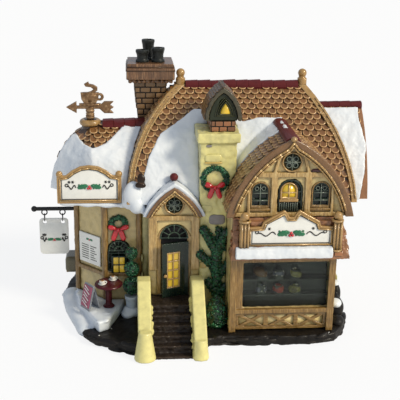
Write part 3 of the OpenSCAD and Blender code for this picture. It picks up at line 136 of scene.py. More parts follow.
class VillageStage(bpy.types.PropertyGroup):
    lens: FloatProperty(name="Lens", description="Focal length in millimetres", default=78.3, min=20)
    heading: angle_property("Heading", "How far the camera looks to the right", 5)
    pitch: angle_property("Pitch", "How far the camera looks down", 18.4)
    roll: angle_property("Roll", "How far the camera leans", 1)
    place: FloatVectorProperty(name="Place", description="Where the camera stands", subtype="XYZ",
                               unit="LENGTH", default=(-0.0465, -0.532, 0.250))
    sun: FloatProperty(name="Sun", description="Strength of the warm lamp", default=2.85, min=0)
    sky: FloatProperty(name="Sky", description="Strength of the soft light", default=0.5, min=0)


# Shader building
class Web:
    """Adds nodes to a tree and links them in one line each."""

    def __init__(self, tree):
        self.tree = tree

    def add(self, kind, inputs=(), **settings):
        made = self.tree.nodes.new(kind)
        for key, value in settings.items():
            setattr(made, key, value)
        for key, value in dict(inputs).items():
            self.put(made.inputs[key], value)
        return made

    def put(self, socket, value):
        if isinstance(value, bpy.types.NodeSocket):
            self.tree.links.new(value, socket)
        else:
            socket.default_value = value

    def math(self, operation, *values, clamp=False):
        made = self.add("ShaderNodeMath", enumerate(values), operation=operation, use_clamp=clamp)
        return made.outputs[0]

    def ramp(self, value, low, high, to_low=0.0, to_high=1.0):
        settings = {"Value": value, "From Min": low, "From Max": high, "To Min": to_low, "To Max": to_high}
        return self.add("ShaderNodeMapRange", settings).outputs["Result"]

    def blend(self, share, first, second, mode="MIX"):
        made = self.add("ShaderNodeMix", data_type="RGBA", blend_type=mode)
        for index, value in zip(MIX_SOCKETS, (share, first, second)):
            self.put(made.inputs[index], value)
        return made.outputs[2]

    def noise(self, where, scale, detail=3.0, rough=0.55):
        settings = {"Vector": where, "Scale": scale, "Detail": detail, "Roughness": rough}
        return self.add("ShaderNodeTexNoise", settings).outputs["Fac"]

    def place(self):
        """Where on the piece a point lies."""
        return self.add("ShaderNodeTexCoord").outputs["Object"]

    def hollow(self, reach):
        """How open a point is to its surroundings: low in recesses."""
        return self.add("ShaderNodeAmbientOcclusion", {"Distance": reach}, samples=6).outputs["AO"]

    def named(self, attribute):
        """A value that the mesh itself holds."""
        return self.add("ShaderNodeAttribute", attribute_name=attribute).outputs["Fac"]

    def grey(self, level):
        """A grey of this brightness."""
        sockets = {"Red": level, "Green": level, "Blue": level}
        return self.add("ShaderNodeCombineColor", sockets).outputs["Color"]


def rgba(colour):
    return (*tuple(colour)[:3], 1.0)


def shifted(colour, factor, warm=0.0):
    """The colour made lighter or darker, and warmer or cooler."""
    red, green, blue = tuple(colour)[:3]
    return (min(red * factor * (1 + warm), 1), min(green * factor, 1), min(blue * factor * (1 - warm), 1))


def new_group(name, inputs, outputs):
    """A shader node group with these sockets: its web, the input sockets and the output node."""
    group = bpy.data.node_groups.new(name, "ShaderNodeTree")
    kinds = {float: "NodeSocketFloat", tuple: "NodeSocketColor"}
    for label, default in inputs.items():
        socket = group.interface.new_socket(name=label, in_out="INPUT", socket_type=kinds[type(default)])
        socket.default_value = default
    for label, kind in outputs.items():
        group.interface.new_socket(name=label, in_out="OUTPUT", socket_type=kind)
    web = Web(group)
    return web, web.add("NodeGroupInput").outputs, web.add("NodeGroupOutput").inputs


def antique_and_shading_group():
    """Base colour with mottling, a dark wash with painted shade in the recesses and a dry brush with painted
    highlight on the edges.
    """
    white = (1.0, 1.0, 1.0, 1.0)
    web, given, made = new_group(
        "antique_glaze_and_shading",
        {"Base": white, "Wash And Shade": white, "Brush": white, "Wash And Shade Share": 0.8, "Brush And Highlight Share": 0.5, "Reach": 0.0012,
         "Mottle": 0.25, "Mottle Scale": 250.0},
        {"Color": "NodeSocketColor", "Roughness Shift": "NodeSocketFloat", "Height": "NodeSocketFloat"})
    where = web.place()
    broad = web.noise(where, given["Mottle Scale"], 4.0)
    fine = web.noise(where, 1500.0, 2.0)
    # Ambient occlusion paints shade into the recesses, also where other pieces come near, over the dark wash
    recess = web.hollow(given["Reach"])
    # Ambient occlusion from inside finds the edges, for the dry brush and a painted highlight
    brim = web.math("MULTIPLY", given["Reach"], 0.45)
    edge = web.add("ShaderNodeAmbientOcclusion", {"Distance": brim}, samples=4, inside=True, only_local=True)
    hollow = web.ramp(web.math("ADD", recess, web.math("MULTIPLY", fine, 0.12)), 0.95, 0.45)
    raised = web.ramp(web.math("MULTIPLY_ADD", fine, -0.25, edge.outputs["AO"]), 0.72, 0.35)
    shade = web.ramp(broad, 0.3, 0.7, -1.0, 1.0)
    lighter = web.math("MULTIPLY_ADD", web.math("MULTIPLY", shade, given["Mottle"]), 0.5, 1.0)
    body = web.blend(1.0, given["Base"], web.grey(lighter), "MULTIPLY")
    patchy = web.ramp(broad, 0.42, 0.75, 0.0, 0.45)
    body = web.blend(web.math("MULTIPLY", patchy, given["Mottle"]), body, given["Wash And Shade"])
    # Painted shade and wash in the recesses, then painted highlight and dry brush on the edges
    body = web.blend(web.math("MULTIPLY", hollow, given["Wash And Shade Share"], clamp=True), body, given["Wash And Shade"])
    body = web.blend(web.math("MULTIPLY", raised, given["Brush And Highlight Share"], clamp=True), body, given["Brush"])
    web.put(made["Color"], body)
    web.put(made["Roughness Shift"], web.ramp(fine, 0.3, 0.7, -0.06, 0.08))
    web.put(made["Height"], web.math("MULTIPLY_ADD", broad, 0.6, web.math("MULTIPLY", fine, 0.4)))
    return web.tree


def streak_group():
    """Brushed streaks along one axis: a value round zero, for the run of a timber or the fall of snow."""
    web, given, made = new_group("streaks", {"Along X": 300.0, "Along Y": 300.0, "Along Z": 1500.0},
                                 {"Streak": "NodeSocketFloat"})
    where = web.place()
    stretch = web.add("ShaderNodeCombineXYZ", {axis: given[f"Along {axis}"] for axis in "XYZ"})
    placed = web.add("ShaderNodeVectorMath", {0: where, 1: stretch.outputs["Vector"]}, operation="MULTIPLY")
    web.put(made["Streak"], web.ramp(web.noise(placed.outputs["Vector"], 1.0, 3.0), 0.3, 0.7, -1.0, 1.0))
    return web.tree


def new_material(name, rough=0.35, coat=0.0, metal=0.0):
    """An empty material with its shader set: the material, its web and the shader."""
    made = bpy.data.materials.new(name)
    made.use_nodes = True
    shader = made.node_tree.nodes["Principled BSDF"]
    shader.inputs["Roughness"].default_value = rough
    shader.inputs["Coat Weight"].default_value = coat
    shader.inputs["Coat Roughness"].default_value = 0.12
    shader.inputs["Metallic"].default_value = metal
    return made, Web(made.node_tree), shader


def bumped(web, shader, height, strength=0.3, depth=0.3):
    """Feeds a height to the shader's normal."""
    bump = web.add("ShaderNodeBump", {"Strength": strength, "Distance": depth * MM, "Height": height})
    web.put(shader.inputs["Normal"], bump.outputs["Normal"])


def glaze(name, base, wash_and_shade=None, brush_and_highlight=None, rough=0.32, coat=0.35, metal=0.0, wash_and_shade_share=0.85, brush_and_highlight_share=0.55,
          reach=1.3, mottle=0.3, scale=250.0, streaks=None, varied=0.0, shine=0.5):
    """A glazed finish: base colour, dark wash and painted shade in recesses, dry brush and painted highlight
    on edges, mottling and fine relief.
    """
    made, web, shader = new_material(name, rough, coat, metal)
    shader.inputs["Specular IOR Level"].default_value = shine
    # The wash colour is also the painted shade in the recesses, and the brush colour also the painted
    # highlight on the edges; the streaks use both as grain
    inputs = {
        "Base": rgba(base), "Wash And Shade": rgba(wash_and_shade or shifted(base, 0.22, 0.1)),
        "Brush": rgba(brush_and_highlight or shifted(base, 1.6, 0.02)), "Wash And Shade Share": wash_and_shade_share, "Brush And Highlight Share": brush_and_highlight_share,
        "Reach": reach * MM, "Mottle": mottle, "Mottle Scale": scale,
    }
    node = web.add("ShaderNodeGroup", node_tree=bpy.data.node_groups["antique_glaze_and_shading"])
    for key, value in inputs.items():
        node.inputs[key].default_value = value
    colour, height = node.outputs["Color"], node.outputs["Height"]
    if varied:
        level = web.ramp(web.named("shade"), 0.0, 1.0, 1 - varied, 1 + varied)
        colour = web.blend(1.0, colour, web.grey(level), "MULTIPLY")
    if streaks:
        run = web.add("ShaderNodeGroup", node_tree=bpy.data.node_groups["streaks"])
        for key, value in zip(("Along X", "Along Y", "Along Z"), streaks):
            run.inputs[key].default_value = value
        dark = web.ramp(run.outputs["Streak"], 0.1, 1.0, 0.0, 0.55)
        pale = web.ramp(run.outputs["Streak"], -0.1, -1.0, 0.0, 0.4)
        colour = web.blend(dark, colour, inputs["Wash And Shade"])
        colour = web.blend(pale, colour, inputs["Brush"])
        height = web.math("MULTIPLY_ADD", run.outputs["Streak"], -0.5, height)
    web.put(shader.inputs["Base Color"], colour)
    web.put(shader.inputs["Roughness"], web.math("ADD", node.outputs["Roughness Shift"], rough, clamp=True))
    bumped(web, shader, height, 0.35)
    return made


def shingle_glaze(name, body, hollow, brim):
    """Shingles: the piece's own attribute says where painted shade falls at each shingle's foot and where its
    lower lip is dry-brushed with a painted highlight.
    """
    made, web, shader = new_material(name, 0.36, 0.3)
    where = web.place()
    lip_highlight_foot_shade = web.named("lip_highlight_foot_shade")
    broad = web.noise(where, 120.0, 3.0)
    fine = web.noise(where, 1300.0, 3.0)
    recess = web.hollow(1.7 * MM)
    base = web.blend(web.named("shade"), rgba(shifted(body, 0.68)), rgba(shifted(body, 1.16)))
    base = web.blend(web.ramp(broad, 0.4, 0.7, 0.0, 0.5), base, rgba(shifted(body, 0.7, 0.12)))
    # Painted shade in the gap colour at each shingle's foot, and dry brush with painted highlight on its lower
    # lip
    gap = web.ramp(web.math("MULTIPLY_ADD", fine, 0.16, lip_highlight_foot_shade), 0.42, 0.16)
    lip = web.ramp(web.math("MULTIPLY_ADD", fine, 0.5, lip_highlight_foot_shade), 0.72, 1.3)
    colour = web.blend(gap, base, rgba(hollow))
    # Ambient occlusion paints shade under the lips of the course above
    colour = web.blend(web.ramp(recess, 0.9, 0.4, 0.0, 0.9), colour, rgba(hollow))
    colour = web.blend(web.math("MULTIPLY", lip, 0.8), colour, rgba(brim))
    web.put(shader.inputs["Base Color"], colour)
    web.put(shader.inputs["Roughness"], web.ramp(fine, 0.3, 0.7, 0.28, 0.46))
    bumped(web, shader, fine, 0.35)
    return made


def snow_glaze(name, colour):
    """Snow: nearly white, with bluish painted shade in the hollows and tiny dark specks from the kiln."""
    made, web, shader = new_material(name, 0.42, 0.15)
    where = web.place()
    broad = web.noise(where, 60.0, 3.0)
    fine = web.noise(where, 900.0, 3.0)
    cool, warm = rgba(shifted(colour, 0.93, -0.02)), rgba(shifted(colour, 1.03, 0.01))
    base = web.blend(web.ramp(broad, 0.35, 0.65), cool, warm)
    # Ambient occlusion paints a bluish shade into the hollows
    base = web.blend(web.ramp(web.hollow(4 * MM), 0.9, 0.4, 0.0, 0.5), base, rgba(hue(158, 170, 186)))
    speck = web.add("ShaderNodeTexVoronoi", {"Vector": where, "Scale": 70.0, "Randomness": 1.0})
    dot = web.ramp(speck.outputs["Distance"], 0.016, 0.01, 0.0, 0.6)
    base = web.blend(dot, base, rgba(hue(110, 112, 108)))
    web.put(shader.inputs["Base Color"], base)
    web.put(shader.inputs["Roughness"], web.ramp(fine, 0.3, 0.7, 0.34, 0.52))
    bumped(web, shader, web.math("MULTIPLY_ADD", broad, 0.5, web.math("MULTIPLY", fine, 0.5)), 0.25)
    return made


def lit_glaze(name, colour, glow=0.18):
    """A translucent pane with a painted glow from its emission, in place of the lamp's light behind it:
    brighter in its middle, with painted shade that makes it greenish at its rim.
    """
    made, web, shader = new_material(name, 0.25, 0.5)
    swirl = web.noise(web.place(), 500.0, 3.0)
    # Ambient occlusion paints shade at the pane's rim
    brim = web.ramp(web.hollow(0.9 * MM), 0.9, 0.4, 0.0, 0.8)
    body = web.blend(brim, rgba(colour), rgba(shifted(colour, 0.42)))
    body = web.blend(web.ramp(swirl, 0.55, 0.75, 0.0, 0.5), body, rgba(shifted(colour, 1.35, -0.05)))
    web.put(shader.inputs["Base Color"], body)
    # The emission paints a glow; the pane is no lamp
    web.put(shader.inputs["Emission Color"], body)
    shader.inputs["Emission Strength"].default_value = glow
    bumped(web, shader, swirl, 0.25)
    return made


def shop_glass(name):
    """Slightly tinted pane with faint dust and smears."""
    made, web, shader = new_material(name, 0.06, 0.0)
    smear = web.noise(web.place(), 160.0, 4.0)
    shader.inputs["Transmission Weight"].default_value = 1.0
    shader.inputs["IOR"].default_value = 1.3
    clean, dusty = (0.62, 0.67, 0.62, 1.0), (0.50, 0.54, 0.50, 1.0)
    web.put(shader.inputs["Base Color"], web.blend(web.ramp(smear, 0.4, 0.7), clean, dusty))
    web.put(shader.inputs["Roughness"], web.ramp(smear, 0.45, 0.75, 0.05, 0.22))
    bumped(web, shader, smear, 0.08)
    return made


def metal_finish(name, colour, rough, metal=1.0):
    """Metal with a brushed, slightly worn surface."""
    made, web, shader = new_material(name, rough, 0.0, metal)
    grain = web.noise(web.place(), 900.0, 3.0)
    worn = web.ramp(grain, 0.4, 0.7, 0.0, 0.6)
    web.put(shader.inputs["Base Color"], web.blend(worn, rgba(colour), rgba(shifted(colour, 0.55))))
    web.put(shader.inputs["Roughness"], web.ramp(grain, 0.3, 0.7, rough - 0.08, rough + 0.12))
    bumped(web, shader, grain, 0.15)
    return made


def make_glazes(c):
    """Every finish of the house, kept in Blender's own list under its name."""
    antique_and_shading_group()
    streak_group()
    upright, level = (1500.0, 1500.0, 130.0), (130.0, 1500.0, 1500.0)
    # Each glaze's wash colour is also its painted shade in recesses, and its brush colour its painted
    # highlight on edges
    glaze("roof backing", c.shingle_gap_and_shade, brush_and_highlight_share=0.2)
    # A shingle glaze's second colour is its painted shade, its third its dry brush with painted highlight
    shingle_glaze("shingles", c.shingle, c.shingle_gap_and_shade, c.shingle_edge_highlight)
    shingle_glaze("mossy shingles", hue(94, 68, 32), hue(34, 26, 14), hue(148, 110, 58))
    snow_glaze("snow", c.snow)
    glaze("burgundy", c.burgundy, brush_and_highlight=hue(126, 52, 50), mottle=0.4, coat=0.1, rough=0.45, shine=0.25)
    glaze("gold", c.gold, wash_and_shade=hue(72, 48, 24), brush_and_highlight=hue(236, 206, 146), rough=0.26, coat=0.5, metal=0.15)
    glaze("timber upright", c.timber, wash_and_shade=hue(58, 38, 18), brush_and_highlight=hue(206, 170, 110), streaks=upright)
    glaze("timber level", c.timber, wash_and_shade=hue(58, 38, 18), brush_and_highlight=hue(206, 170, 110), streaks=level)
    glaze("barge", hue(122, 88, 52), wash_and_shade=hue(58, 36, 20), brush_and_highlight=hue(188, 140, 94), rough=0.28, mottle=0.6)
    glaze("gable plaster", c.gable_plaster, wash_and_shade=hue(112, 82, 40), brush_and_highlight=hue(236, 216, 156), reach=2.4,
          mottle=0.5)
    glaze("tea plaster", c.tea_plaster, wash_and_shade=hue(84, 70, 38), brush_and_highlight=hue(214, 204, 160), reach=2.8,
          mottle=0.6)
    glaze("house plaster", c.house_plaster, wash_and_shade=hue(98, 92, 50), brush_and_highlight=hue(214, 208, 156), reach=2.4,
          mottle=0.6)
    glaze("cream", c.cream, wash_and_shade=hue(150, 146, 84), brush_and_highlight=hue(246, 240, 188), reach=1.8, mottle=0.35,
          wash_and_shade_share=0.6)
    glaze("brick", c.brick, wash_and_shade=hue(58, 36, 20), brush_and_highlight=hue(202, 156, 112), reach=1.0, mottle=0.8,
          scale=160.0, varied=0.35)
    glaze("chimney cap", hue(110, 76, 48), wash_and_shade=hue(48, 30, 16), brush_and_highlight=hue(196, 152, 108), mottle=0.8,
          streaks=upright)
    glaze("rock", c.rock, wash_and_shade=hue(18, 15, 12), brush_and_highlight=hue(124, 110, 96), reach=1.6, mottle=0.9, scale=300.0,
          rough=0.5, brush_and_highlight_share=0.6, coat=0.05, shine=0.25)
    glaze("dark green", c.green, wash_and_shade=hue(8, 13, 10), brush_and_highlight=hue(92, 112, 92), rough=0.24, coat=0.25,
          shine=0.3)
    glaze("leaf", c.leaf, wash_and_shade=hue(4, 22, 14), brush_and_highlight=hue(52, 118, 78), rough=0.28, coat=0.5, reach=0.9,
          mottle=0.7, varied=0.45, shine=0.3)
    glaze("bow red", c.red, wash_and_shade=hue(110, 8, 18), brush_and_highlight=hue(244, 110, 104), rough=0.25, coat=0.6)
    glaze("table maroon", c.maroon, wash_and_shade=hue(34, 8, 12), brush_and_highlight=hue(104, 36, 44), rough=0.3, coat=0.15,
          brush_and_highlight_share=0.1, shine=0.2)
    glaze("white", c.white, wash_and_shade=hue(150, 142, 124), brush_and_highlight=hue(250, 249, 244), rough=0.3, wash_and_shade_share=0.7,
          mottle=0.12)
    # The ink is also the painted shade of the dark plates behind the porch's fanlight and the door
    glaze("ink_and_shade", hue(24, 22, 24), rough=0.5, mottle=0.3, coat=0.0, shine=0.2)
    glaze("pot black", hue(28, 31, 29), wash_and_shade=hue(8, 9, 8), brush_and_highlight=hue(84, 88, 80), rough=0.45, coat=0.1,
          shine=0.3)
    glaze("pot grey", hue(190, 202, 212), wash_and_shade=hue(120, 132, 144), brush_and_highlight=hue(232, 238, 240))
    glaze("rib gold", hue(172, 136, 84), wash_and_shade=hue(66, 46, 26), brush_and_highlight=hue(236, 208, 148), rough=0.28,
          mottle=0.7)
    glaze("timber pale", hue(184, 150, 92), wash_and_shade=hue(84, 58, 30), brush_and_highlight=hue(236, 216, 162), streaks=upright)
    glaze("roof edge", hue(152, 106, 70), wash_and_shade=hue(70, 44, 26), brush_and_highlight=hue(204, 158, 112), mottle=0.8,
          scale=160.0)
    glaze("rough brick", hue(152, 104, 68), wash_and_shade=hue(70, 42, 26), brush_and_highlight=hue(208, 166, 124), reach=1.0,
          mottle=0.8)
    glaze("step rock", hue(40, 32, 27), wash_and_shade=hue(16, 12, 10), brush_and_highlight=hue(136, 108, 84), reach=1.4, mottle=0.9,
          scale=300.0, rough=0.45, brush_and_highlight_share=0.6, coat=0.05, shine=0.25)
    glaze("olive box", hue(92, 84, 58), wash_and_shade=hue(40, 36, 24), brush_and_highlight=hue(132, 122, 92), rough=0.3)
    glaze("dark wire", hue(52, 52, 54), rough=0.35, metal=0.5)
    glaze("old brick", hue(126, 96, 62), wash_and_shade=hue(40, 28, 18), brush_and_highlight=hue(186, 148, 104), reach=1.0,
          mottle=0.8, scale=160.0, varied=0.3, coat=0.1)
    glaze("mortar", hue(42, 28, 18), wash_and_shade=hue(20, 14, 9), brush_and_highlight=hue(96, 70, 48), coat=0.1, shine=0.25)
    glaze("moss", hue(72, 66, 44), wash_and_shade=hue(26, 26, 18), brush_and_highlight=hue(138, 116, 84), mottle=0.8)
    glaze("olive", hue(42, 48, 30), wash_and_shade=hue(14, 18, 10), brush_and_highlight=hue(104, 104, 70), mottle=0.6, coat=0.1,
          shine=0.3)
    glaze("holly", hue(26, 104, 66), wash_and_shade=hue(10, 50, 30), mottle=0.3)
    glaze("stone grey", hue(134, 128, 126), wash_and_shade=hue(84, 78, 70), brush_and_highlight=hue(176, 172, 166), mottle=0.6)
    glaze("stone gold", hue(206, 176, 96), wash_and_shade=hue(140, 112, 56), brush_and_highlight=hue(236, 214, 146), mottle=0.6)
    glaze("easel pink", hue(150, 48, 84), wash_and_shade=hue(84, 22, 44), brush_and_highlight=hue(196, 120, 144))
    glaze("easel grey", hue(120, 124, 132), wash_and_shade=hue(66, 70, 78), brush_and_highlight=hue(188, 190, 196))
    glaze("cake brown", hue(134, 98, 60))
    glaze("cake blue", hue(112, 116, 134))
    glaze("cake yellow", hue(150, 146, 84))
    glaze("cake red", hue(168, 62, 42))
    glaze("shelf", hue(70, 76, 70), brush_and_highlight=hue(120, 124, 112))
    glaze("icing", hue(216, 206, 188), wash_and_shade=hue(120, 100, 84))
    glaze("lead", hue(92, 102, 92), wash_and_shade=hue(40, 48, 42))
    glaze("dark patch", hue(84, 36, 30))
    glaze("lamp plastic", hue(226, 222, 206), wash_and_shade=hue(150, 146, 132), rough=0.4, coat=0.0, mottle=0.1)
    lit_glaze("lit pane", c.lit)
    shop_glass("shop glass")
    clear = shop_glass("bulb glass")
    clear.node_tree.nodes["Principled BSDF"].inputs["IOR"].default_value = 1.45
    metal_finish("brass", hue(206, 172, 104), 0.3)
    metal_finish("black metal", hue(34, 34, 35), 0.42, 0.3)
    glaze("bronze", hue(128, 96, 64), wash_and_shade=hue(84, 58, 34), brush_and_highlight=hue(204, 170, 128), rough=0.38,
          metal=0.45, coat=0.1, streaks=(600.0, 600.0, 600.0))


def paint(name):
    return bpy.data.materials[name]


# Shapes
def painted(node, finish):
    """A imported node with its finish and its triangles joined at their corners."""
    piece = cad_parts[node]
    piece.data.materials.clear()
    piece.data.materials.append(paint(finish))
    piece.modifiers.new("merge", "WELD").merge_threshold = MERGE
    return piece


def melt(piece, voxel, rounds):
    """Joins a piece's overlapping lumps into one skin and smooths it. The voxel is in millimetres."""
    cells = piece.modifiers.new("melt", "REMESH")
    cells.mode = "VOXEL"
    cells.voxel_size = voxel * MM * 1.0
    cells.use_smooth_shade = True
    soften = piece.modifiers.new("soften", "SMOOTH")
    soften.factor = 0.5
    soften.iterations = rounds
    return piece


def dress(node, finish, voxel, rounds, lump=0.0, lump_size=5.0):
    """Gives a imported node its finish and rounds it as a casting: smoothing and low lumps, in millimetres."""
    piece = melt(painted(node, finish), voxel, rounds)
    if lump:
        clouds = bpy.data.textures.new(f"{node}_lumps", "CLOUDS")
        clouds.noise_scale = lump_size * MM
        clouds.noise_depth = 2
        push = piece.modifiers.new("lumps", "DISPLACE")
        push.texture = clouds
        push.texture_coords = "LOCAL"
        push.strength = lump * MM


def hone(node, finish, width):
    """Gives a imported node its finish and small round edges, and keeps its flats true."""
    piece = painted(node, finish)
    edge = piece.modifiers.new("edges", "BEVEL")
    edge.width = width * MM
    edge.segments = 2
    edge.limit_method = "ANGLE"
    edge.angle_limit = math.radians(35)
    edge.harden_normals = True
    for face in piece.data.polygons:
        face.use_smooth = True


def finish_piece(name, bm, finishes, body=HOUSE, replaces=(), smooth=True):
    """Makes the mesh a piece: faces outwards, finishes, body and the nodes it stands for."""
    bmesh.ops.recalc_face_normals(bm, faces=bm.faces[:])
    mesh = bpy.data.meshes.new(name)
    bm.to_mesh(mesh)
    bm.free()
    for finish in finishes:
        mesh.materials.append(paint(finish))
    for face in mesh.polygons:
        face.use_smooth = smooth
    piece = bpy.data.objects.new(name, mesh)
    bpy.context.scene.collection.objects.link(piece)
    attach(piece, body)
    if replaces:
        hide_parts(*replaces)
    return piece


def copy_of(node):
    """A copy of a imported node's mesh whose triangles are joined at their corners."""
    bm = bmesh.new()
    bm.from_mesh(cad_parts[node].data)
    bmesh.ops.remove_doubles(bm, verts=bm.verts[:], dist=MERGE)
    return bm


def flat_outline(node, way):
    """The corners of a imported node's largest flat that looks this way, in order."""
    shape = copy_of(node)
    bmesh.ops.dissolve_limit(shape, angle_limit=math.radians(1), verts=shape.verts[:], edges=shape.edges[:])
    flats = [face for face in shape.faces if face.normal.dot(way) > 0.99]
    points = [vert.co.copy() for vert in max(flats, key=lambda face: face.calc_area()).verts]
    shape.free()
    return points


def middle_of(node):
    return sum(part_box(node), Vector()) / 2


def surface_of(*nodes):
    """A tree of the nodes' surfaces, for finding places on them."""
    bm = bmesh.new()
    for node in nodes:
        bm.from_mesh(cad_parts[node].data)
    tree = BVHTree.FromBMesh(bm)
    bm.free()
    return tree


def in_wall(degrees):
    """A turn in a front wall's plane."""
    return Matrix.Rotation(math.radians(degrees), 3, "Y")


def standing(place, normal, tilt=0.0, turn=0.0):
    """A matrix at the place: local Z along the normal, local Y up the slope, then tilted and turned."""
    climb = (UP - normal * normal.dot(UP)).normalized()
    across = climb.cross(normal)
    matrix = Matrix((across, climb, normal)).transposed().to_4x4()
    matrix.translation = place
    return matrix @ Matrix.Rotation(turn, 4, "Z") @ Matrix.Rotation(tilt, 4, "X")


def courses(tree, outward, start, low, high, step):
    """Heights of the courses up a slope, evenly spaced along it."""
    heights, walked, before = [], step, None
    z, stride = low + 0.3 * MM, 0.2 * MM
    while z < high:
        place = tree.ray_cast(Vector((start.x, start.y, z)), -outward)[0]
        if place is not None:
            walked += (place - before).length if before is not None else 0
            before = place
            if walked >= step:
                heights.append(z)
                walked -= step
        z += stride
    return heights


def cladding(node, outward, across_step, up_step, rng, covers, tilt=0.0, facing=0.8):
    """Places for shingles or bricks, course by course, on a node's bare faces that look outward."""
    tree = surface_of(node)
    hidden = surface_of(*covers)
    low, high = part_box(node)
    across = UP.cross(outward).normalized()
    reach = (high - low).length / 2
    steps = int(reach / across_step) + 1
    start = (low + high) / 2 + outward * (reach + 20 * MM)
    quarters = [(x * across_step * 0.4, y * up_step * 0.5, 0) for x in (-1, 1) for y in (-1, 1)]
    places = []
    for row, z in enumerate(courses(tree, outward, start, low.z, high.z, up_step)):
        for column in range(-steps, steps + 1):
            shift = (column + 0.5 * (row % 2) + rng.uniform(-JITTER, JITTER)) * across_step
            origin = start + across * shift
            origin.z = z + rng.uniform(-JITTER, JITTER) * up_step
            place, normal = tree.ray_cast(origin, -outward)[:2]
            if place is None or Vector((normal.x, normal.y, 0)).normalized().dot(outward) < facing:
                continue
            matrix = standing(place, normal, tilt, rng.uniform(-JITTER, JITTER))
            corners = [matrix @ Vector(quarter) for quarter in quarters]
            if not all(tree.ray_cast(corner + normal * 2 * MM, -normal, 5 * MM)[0] for corner in corners):
                continue
            outside = [hidden.ray_cast(corner - normal * 0.2 * MM, normal, 9 * MM)[0] for corner in corners]
            if not all(outside):
                places.append(matrix)
    return places


def scatter(shape, places, rng):
    """One mesh with a copy of the shape at each place, and a random shade for each copy."""
    mesh = bpy.data.meshes.new("copy")
    shape.verts.layers.float.new("shade")
    shape.to_mesh(mesh)
    shape.free()
    made = bmesh.new()
    shade = mesh.attributes["shade"]
    rest = [value for vert in mesh.vertices for value in vert.co]
    for matrix in places:
        shade.data.foreach_set("value", [rng.random()] * len(mesh.vertices))
        mesh.transform(matrix)
        made.from_mesh(mesh)
        mesh.vertices.foreach_set("co", rest)
    bpy.data.meshes.remove(mesh)
    return made


def skin(bm, rings, index=0):
    """Joins each ring of corners to the next one with faces."""
    for ring, following in zip(rings, rings[1:]):
        for here in range(len(ring)):
            after = (here + 1) % len(ring)
            face = bm.faces.new((ring[here], ring[after], following[after], following[here]))
            face.material_index = index


def prism(bm, first, second, index=0):
    """Closes two rings of corners into a solid plate."""
    bm.faces.new(first).material_index = index
    bm.faces.new(list(reversed(second))).material_index = index
    skin(bm, (second, first), index)


def shingle_shape(width, length, proud):
    """A shingle with a round lower end: its attribute is high on that end's lip, for dry brush and painted
    highlight, and none at its foot, for painted shade.
    """
    bm = bmesh.new()
    lip_highlight_foot_shade = bm.verts.layers.float.new("lip_highlight_foot_shade")
    half, bow = width / 2, width * 0.42
    drop = length / 2 - bow
    turns = [math.pi * (1 + step / 8) for step in range(9)]
    outline = [(half * math.cos(turn), -drop + bow * math.sin(turn)) for turn in turns]
    outline += [(half, length / 2), (-half, length / 2)]
    # Size and height of each ring, and the attribute for painted highlight and shade at its lower end and at
    # its sides
    sections = ((1.0, 0.0, 0.0, 0.0), (1.0, 0.75, 0.9, 0.25), (0.88, 1.0, 1.0, 0.35), (0.66, 0.85, 0.42, 0.4))
    rings = []
    for share, height, lip, side in sections:
        ring = []
        for x, y in outline:
            low = y < -drop + 0.01 * width
            tall = proud * height * (1.0 if y < length / 4 else 0.3)
            vert = bm.verts.new((x * share, y * share - (1 - share) * drop * 0.5, tall))
            vert[lip_highlight_foot_shade] = lip if low else side
            ring.append(vert)
        rings.append(ring)
    skin(bm, rings)
    bm.faces.new(rings[-1])
    return bm


def brick_shape():
    """A brick one unit long, high and thick with worn edges, to be sized where it is laid."""
    bm = bmesh.new()
    bmesh.ops.create_cube(bm, size=1.0)
    round_edges(bm, bm.edges[:], 0.12)
    return bm


def round_edges(bm, edges, radius):
    bmesh.ops.bevel(bm, geom=edges, offset=radius, offset_type="OFFSET", segments=2, profile=0.5,
                    affect="EDGES", material=-1)


def brick_wall(node, outward, low, high, size, rng):
    """Places of bricks on one face of an upright stack: whole courses that fit its width."""
    length, height, proud = size
    gap = 0.12 * height
    tree = surface_of(node)
    centre = middle_of(node)
    across = UP.cross(outward).normalized()
    rows = max(1, round((high - low) / height))
    step = (high - low) / rows
    places = []
    for row in range(rows):
        middle = Vector((centre.x, centre.y, low + (row + 0.5) * step))
        ends = [tree.ray_cast(middle + side * across, -side * across)[0] for side in (-1, 1)]
        if None in ends:
            continue
        left, right = ((end - middle).dot(across) for end in ends)
        count = max(1, round((right - left) / length))
        pitch = (right - left) / count
        for index in range(count + row % 2):
            start = left + (index - 0.5 * (row % 2)) * pitch
            first, last = max(left, start) + gap, min(right, start + pitch) - gap
            place, normal = tree.ray_cast(middle + across * (first + last) / 2 + outward, -outward)[:2]
            if place is None or normal.dot(outward) < 0.9 or last - first < 0.2 * pitch:
                continue
            thick = 2 * proud * rng.uniform(0.7, 1.1)
            places.append(standing(place, normal) @ Matrix.Diagonal((last - first, step - 2 * gap, thick, 1)))
    return places


def islands(node):
    """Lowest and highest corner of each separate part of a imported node."""
    bm = copy_of(node)
    left, boxes = set(bm.verts), []
    while left:
        reached, found = [left.pop()], []
        while reached:
            vert = reached.pop()
            found.append(vert.co.copy())
            near = {edge.other_vert(vert) for edge in vert.link_edges} & left
            left -= near
            reached += near
        boxes.append((Vector(map(min, *found)), Vector(map(max, *found))))
    bm.free()
    return boxes


def sprinkle(mesh, count, rng, keep=None):
    """Random places on a mesh, even over its area, each with its normal."""
    mesh.calc_loop_triangles()
    chosen = [part for part in mesh.loop_triangles if keep is None or keep(part.normal, part.center)]
    places = []
    for part in rng.choices(chosen, weights=[part.area for part in chosen], k=count):
        corners = [mesh.vertices[index].co for index in part.vertices]
        low, high = sorted((rng.random(), rng.random()))
        shares = (low, high - low, 1 - high)
        places.append((sum((c * s for c, s in zip(corners, shares)), Vector()), part.normal.copy()))
    return places


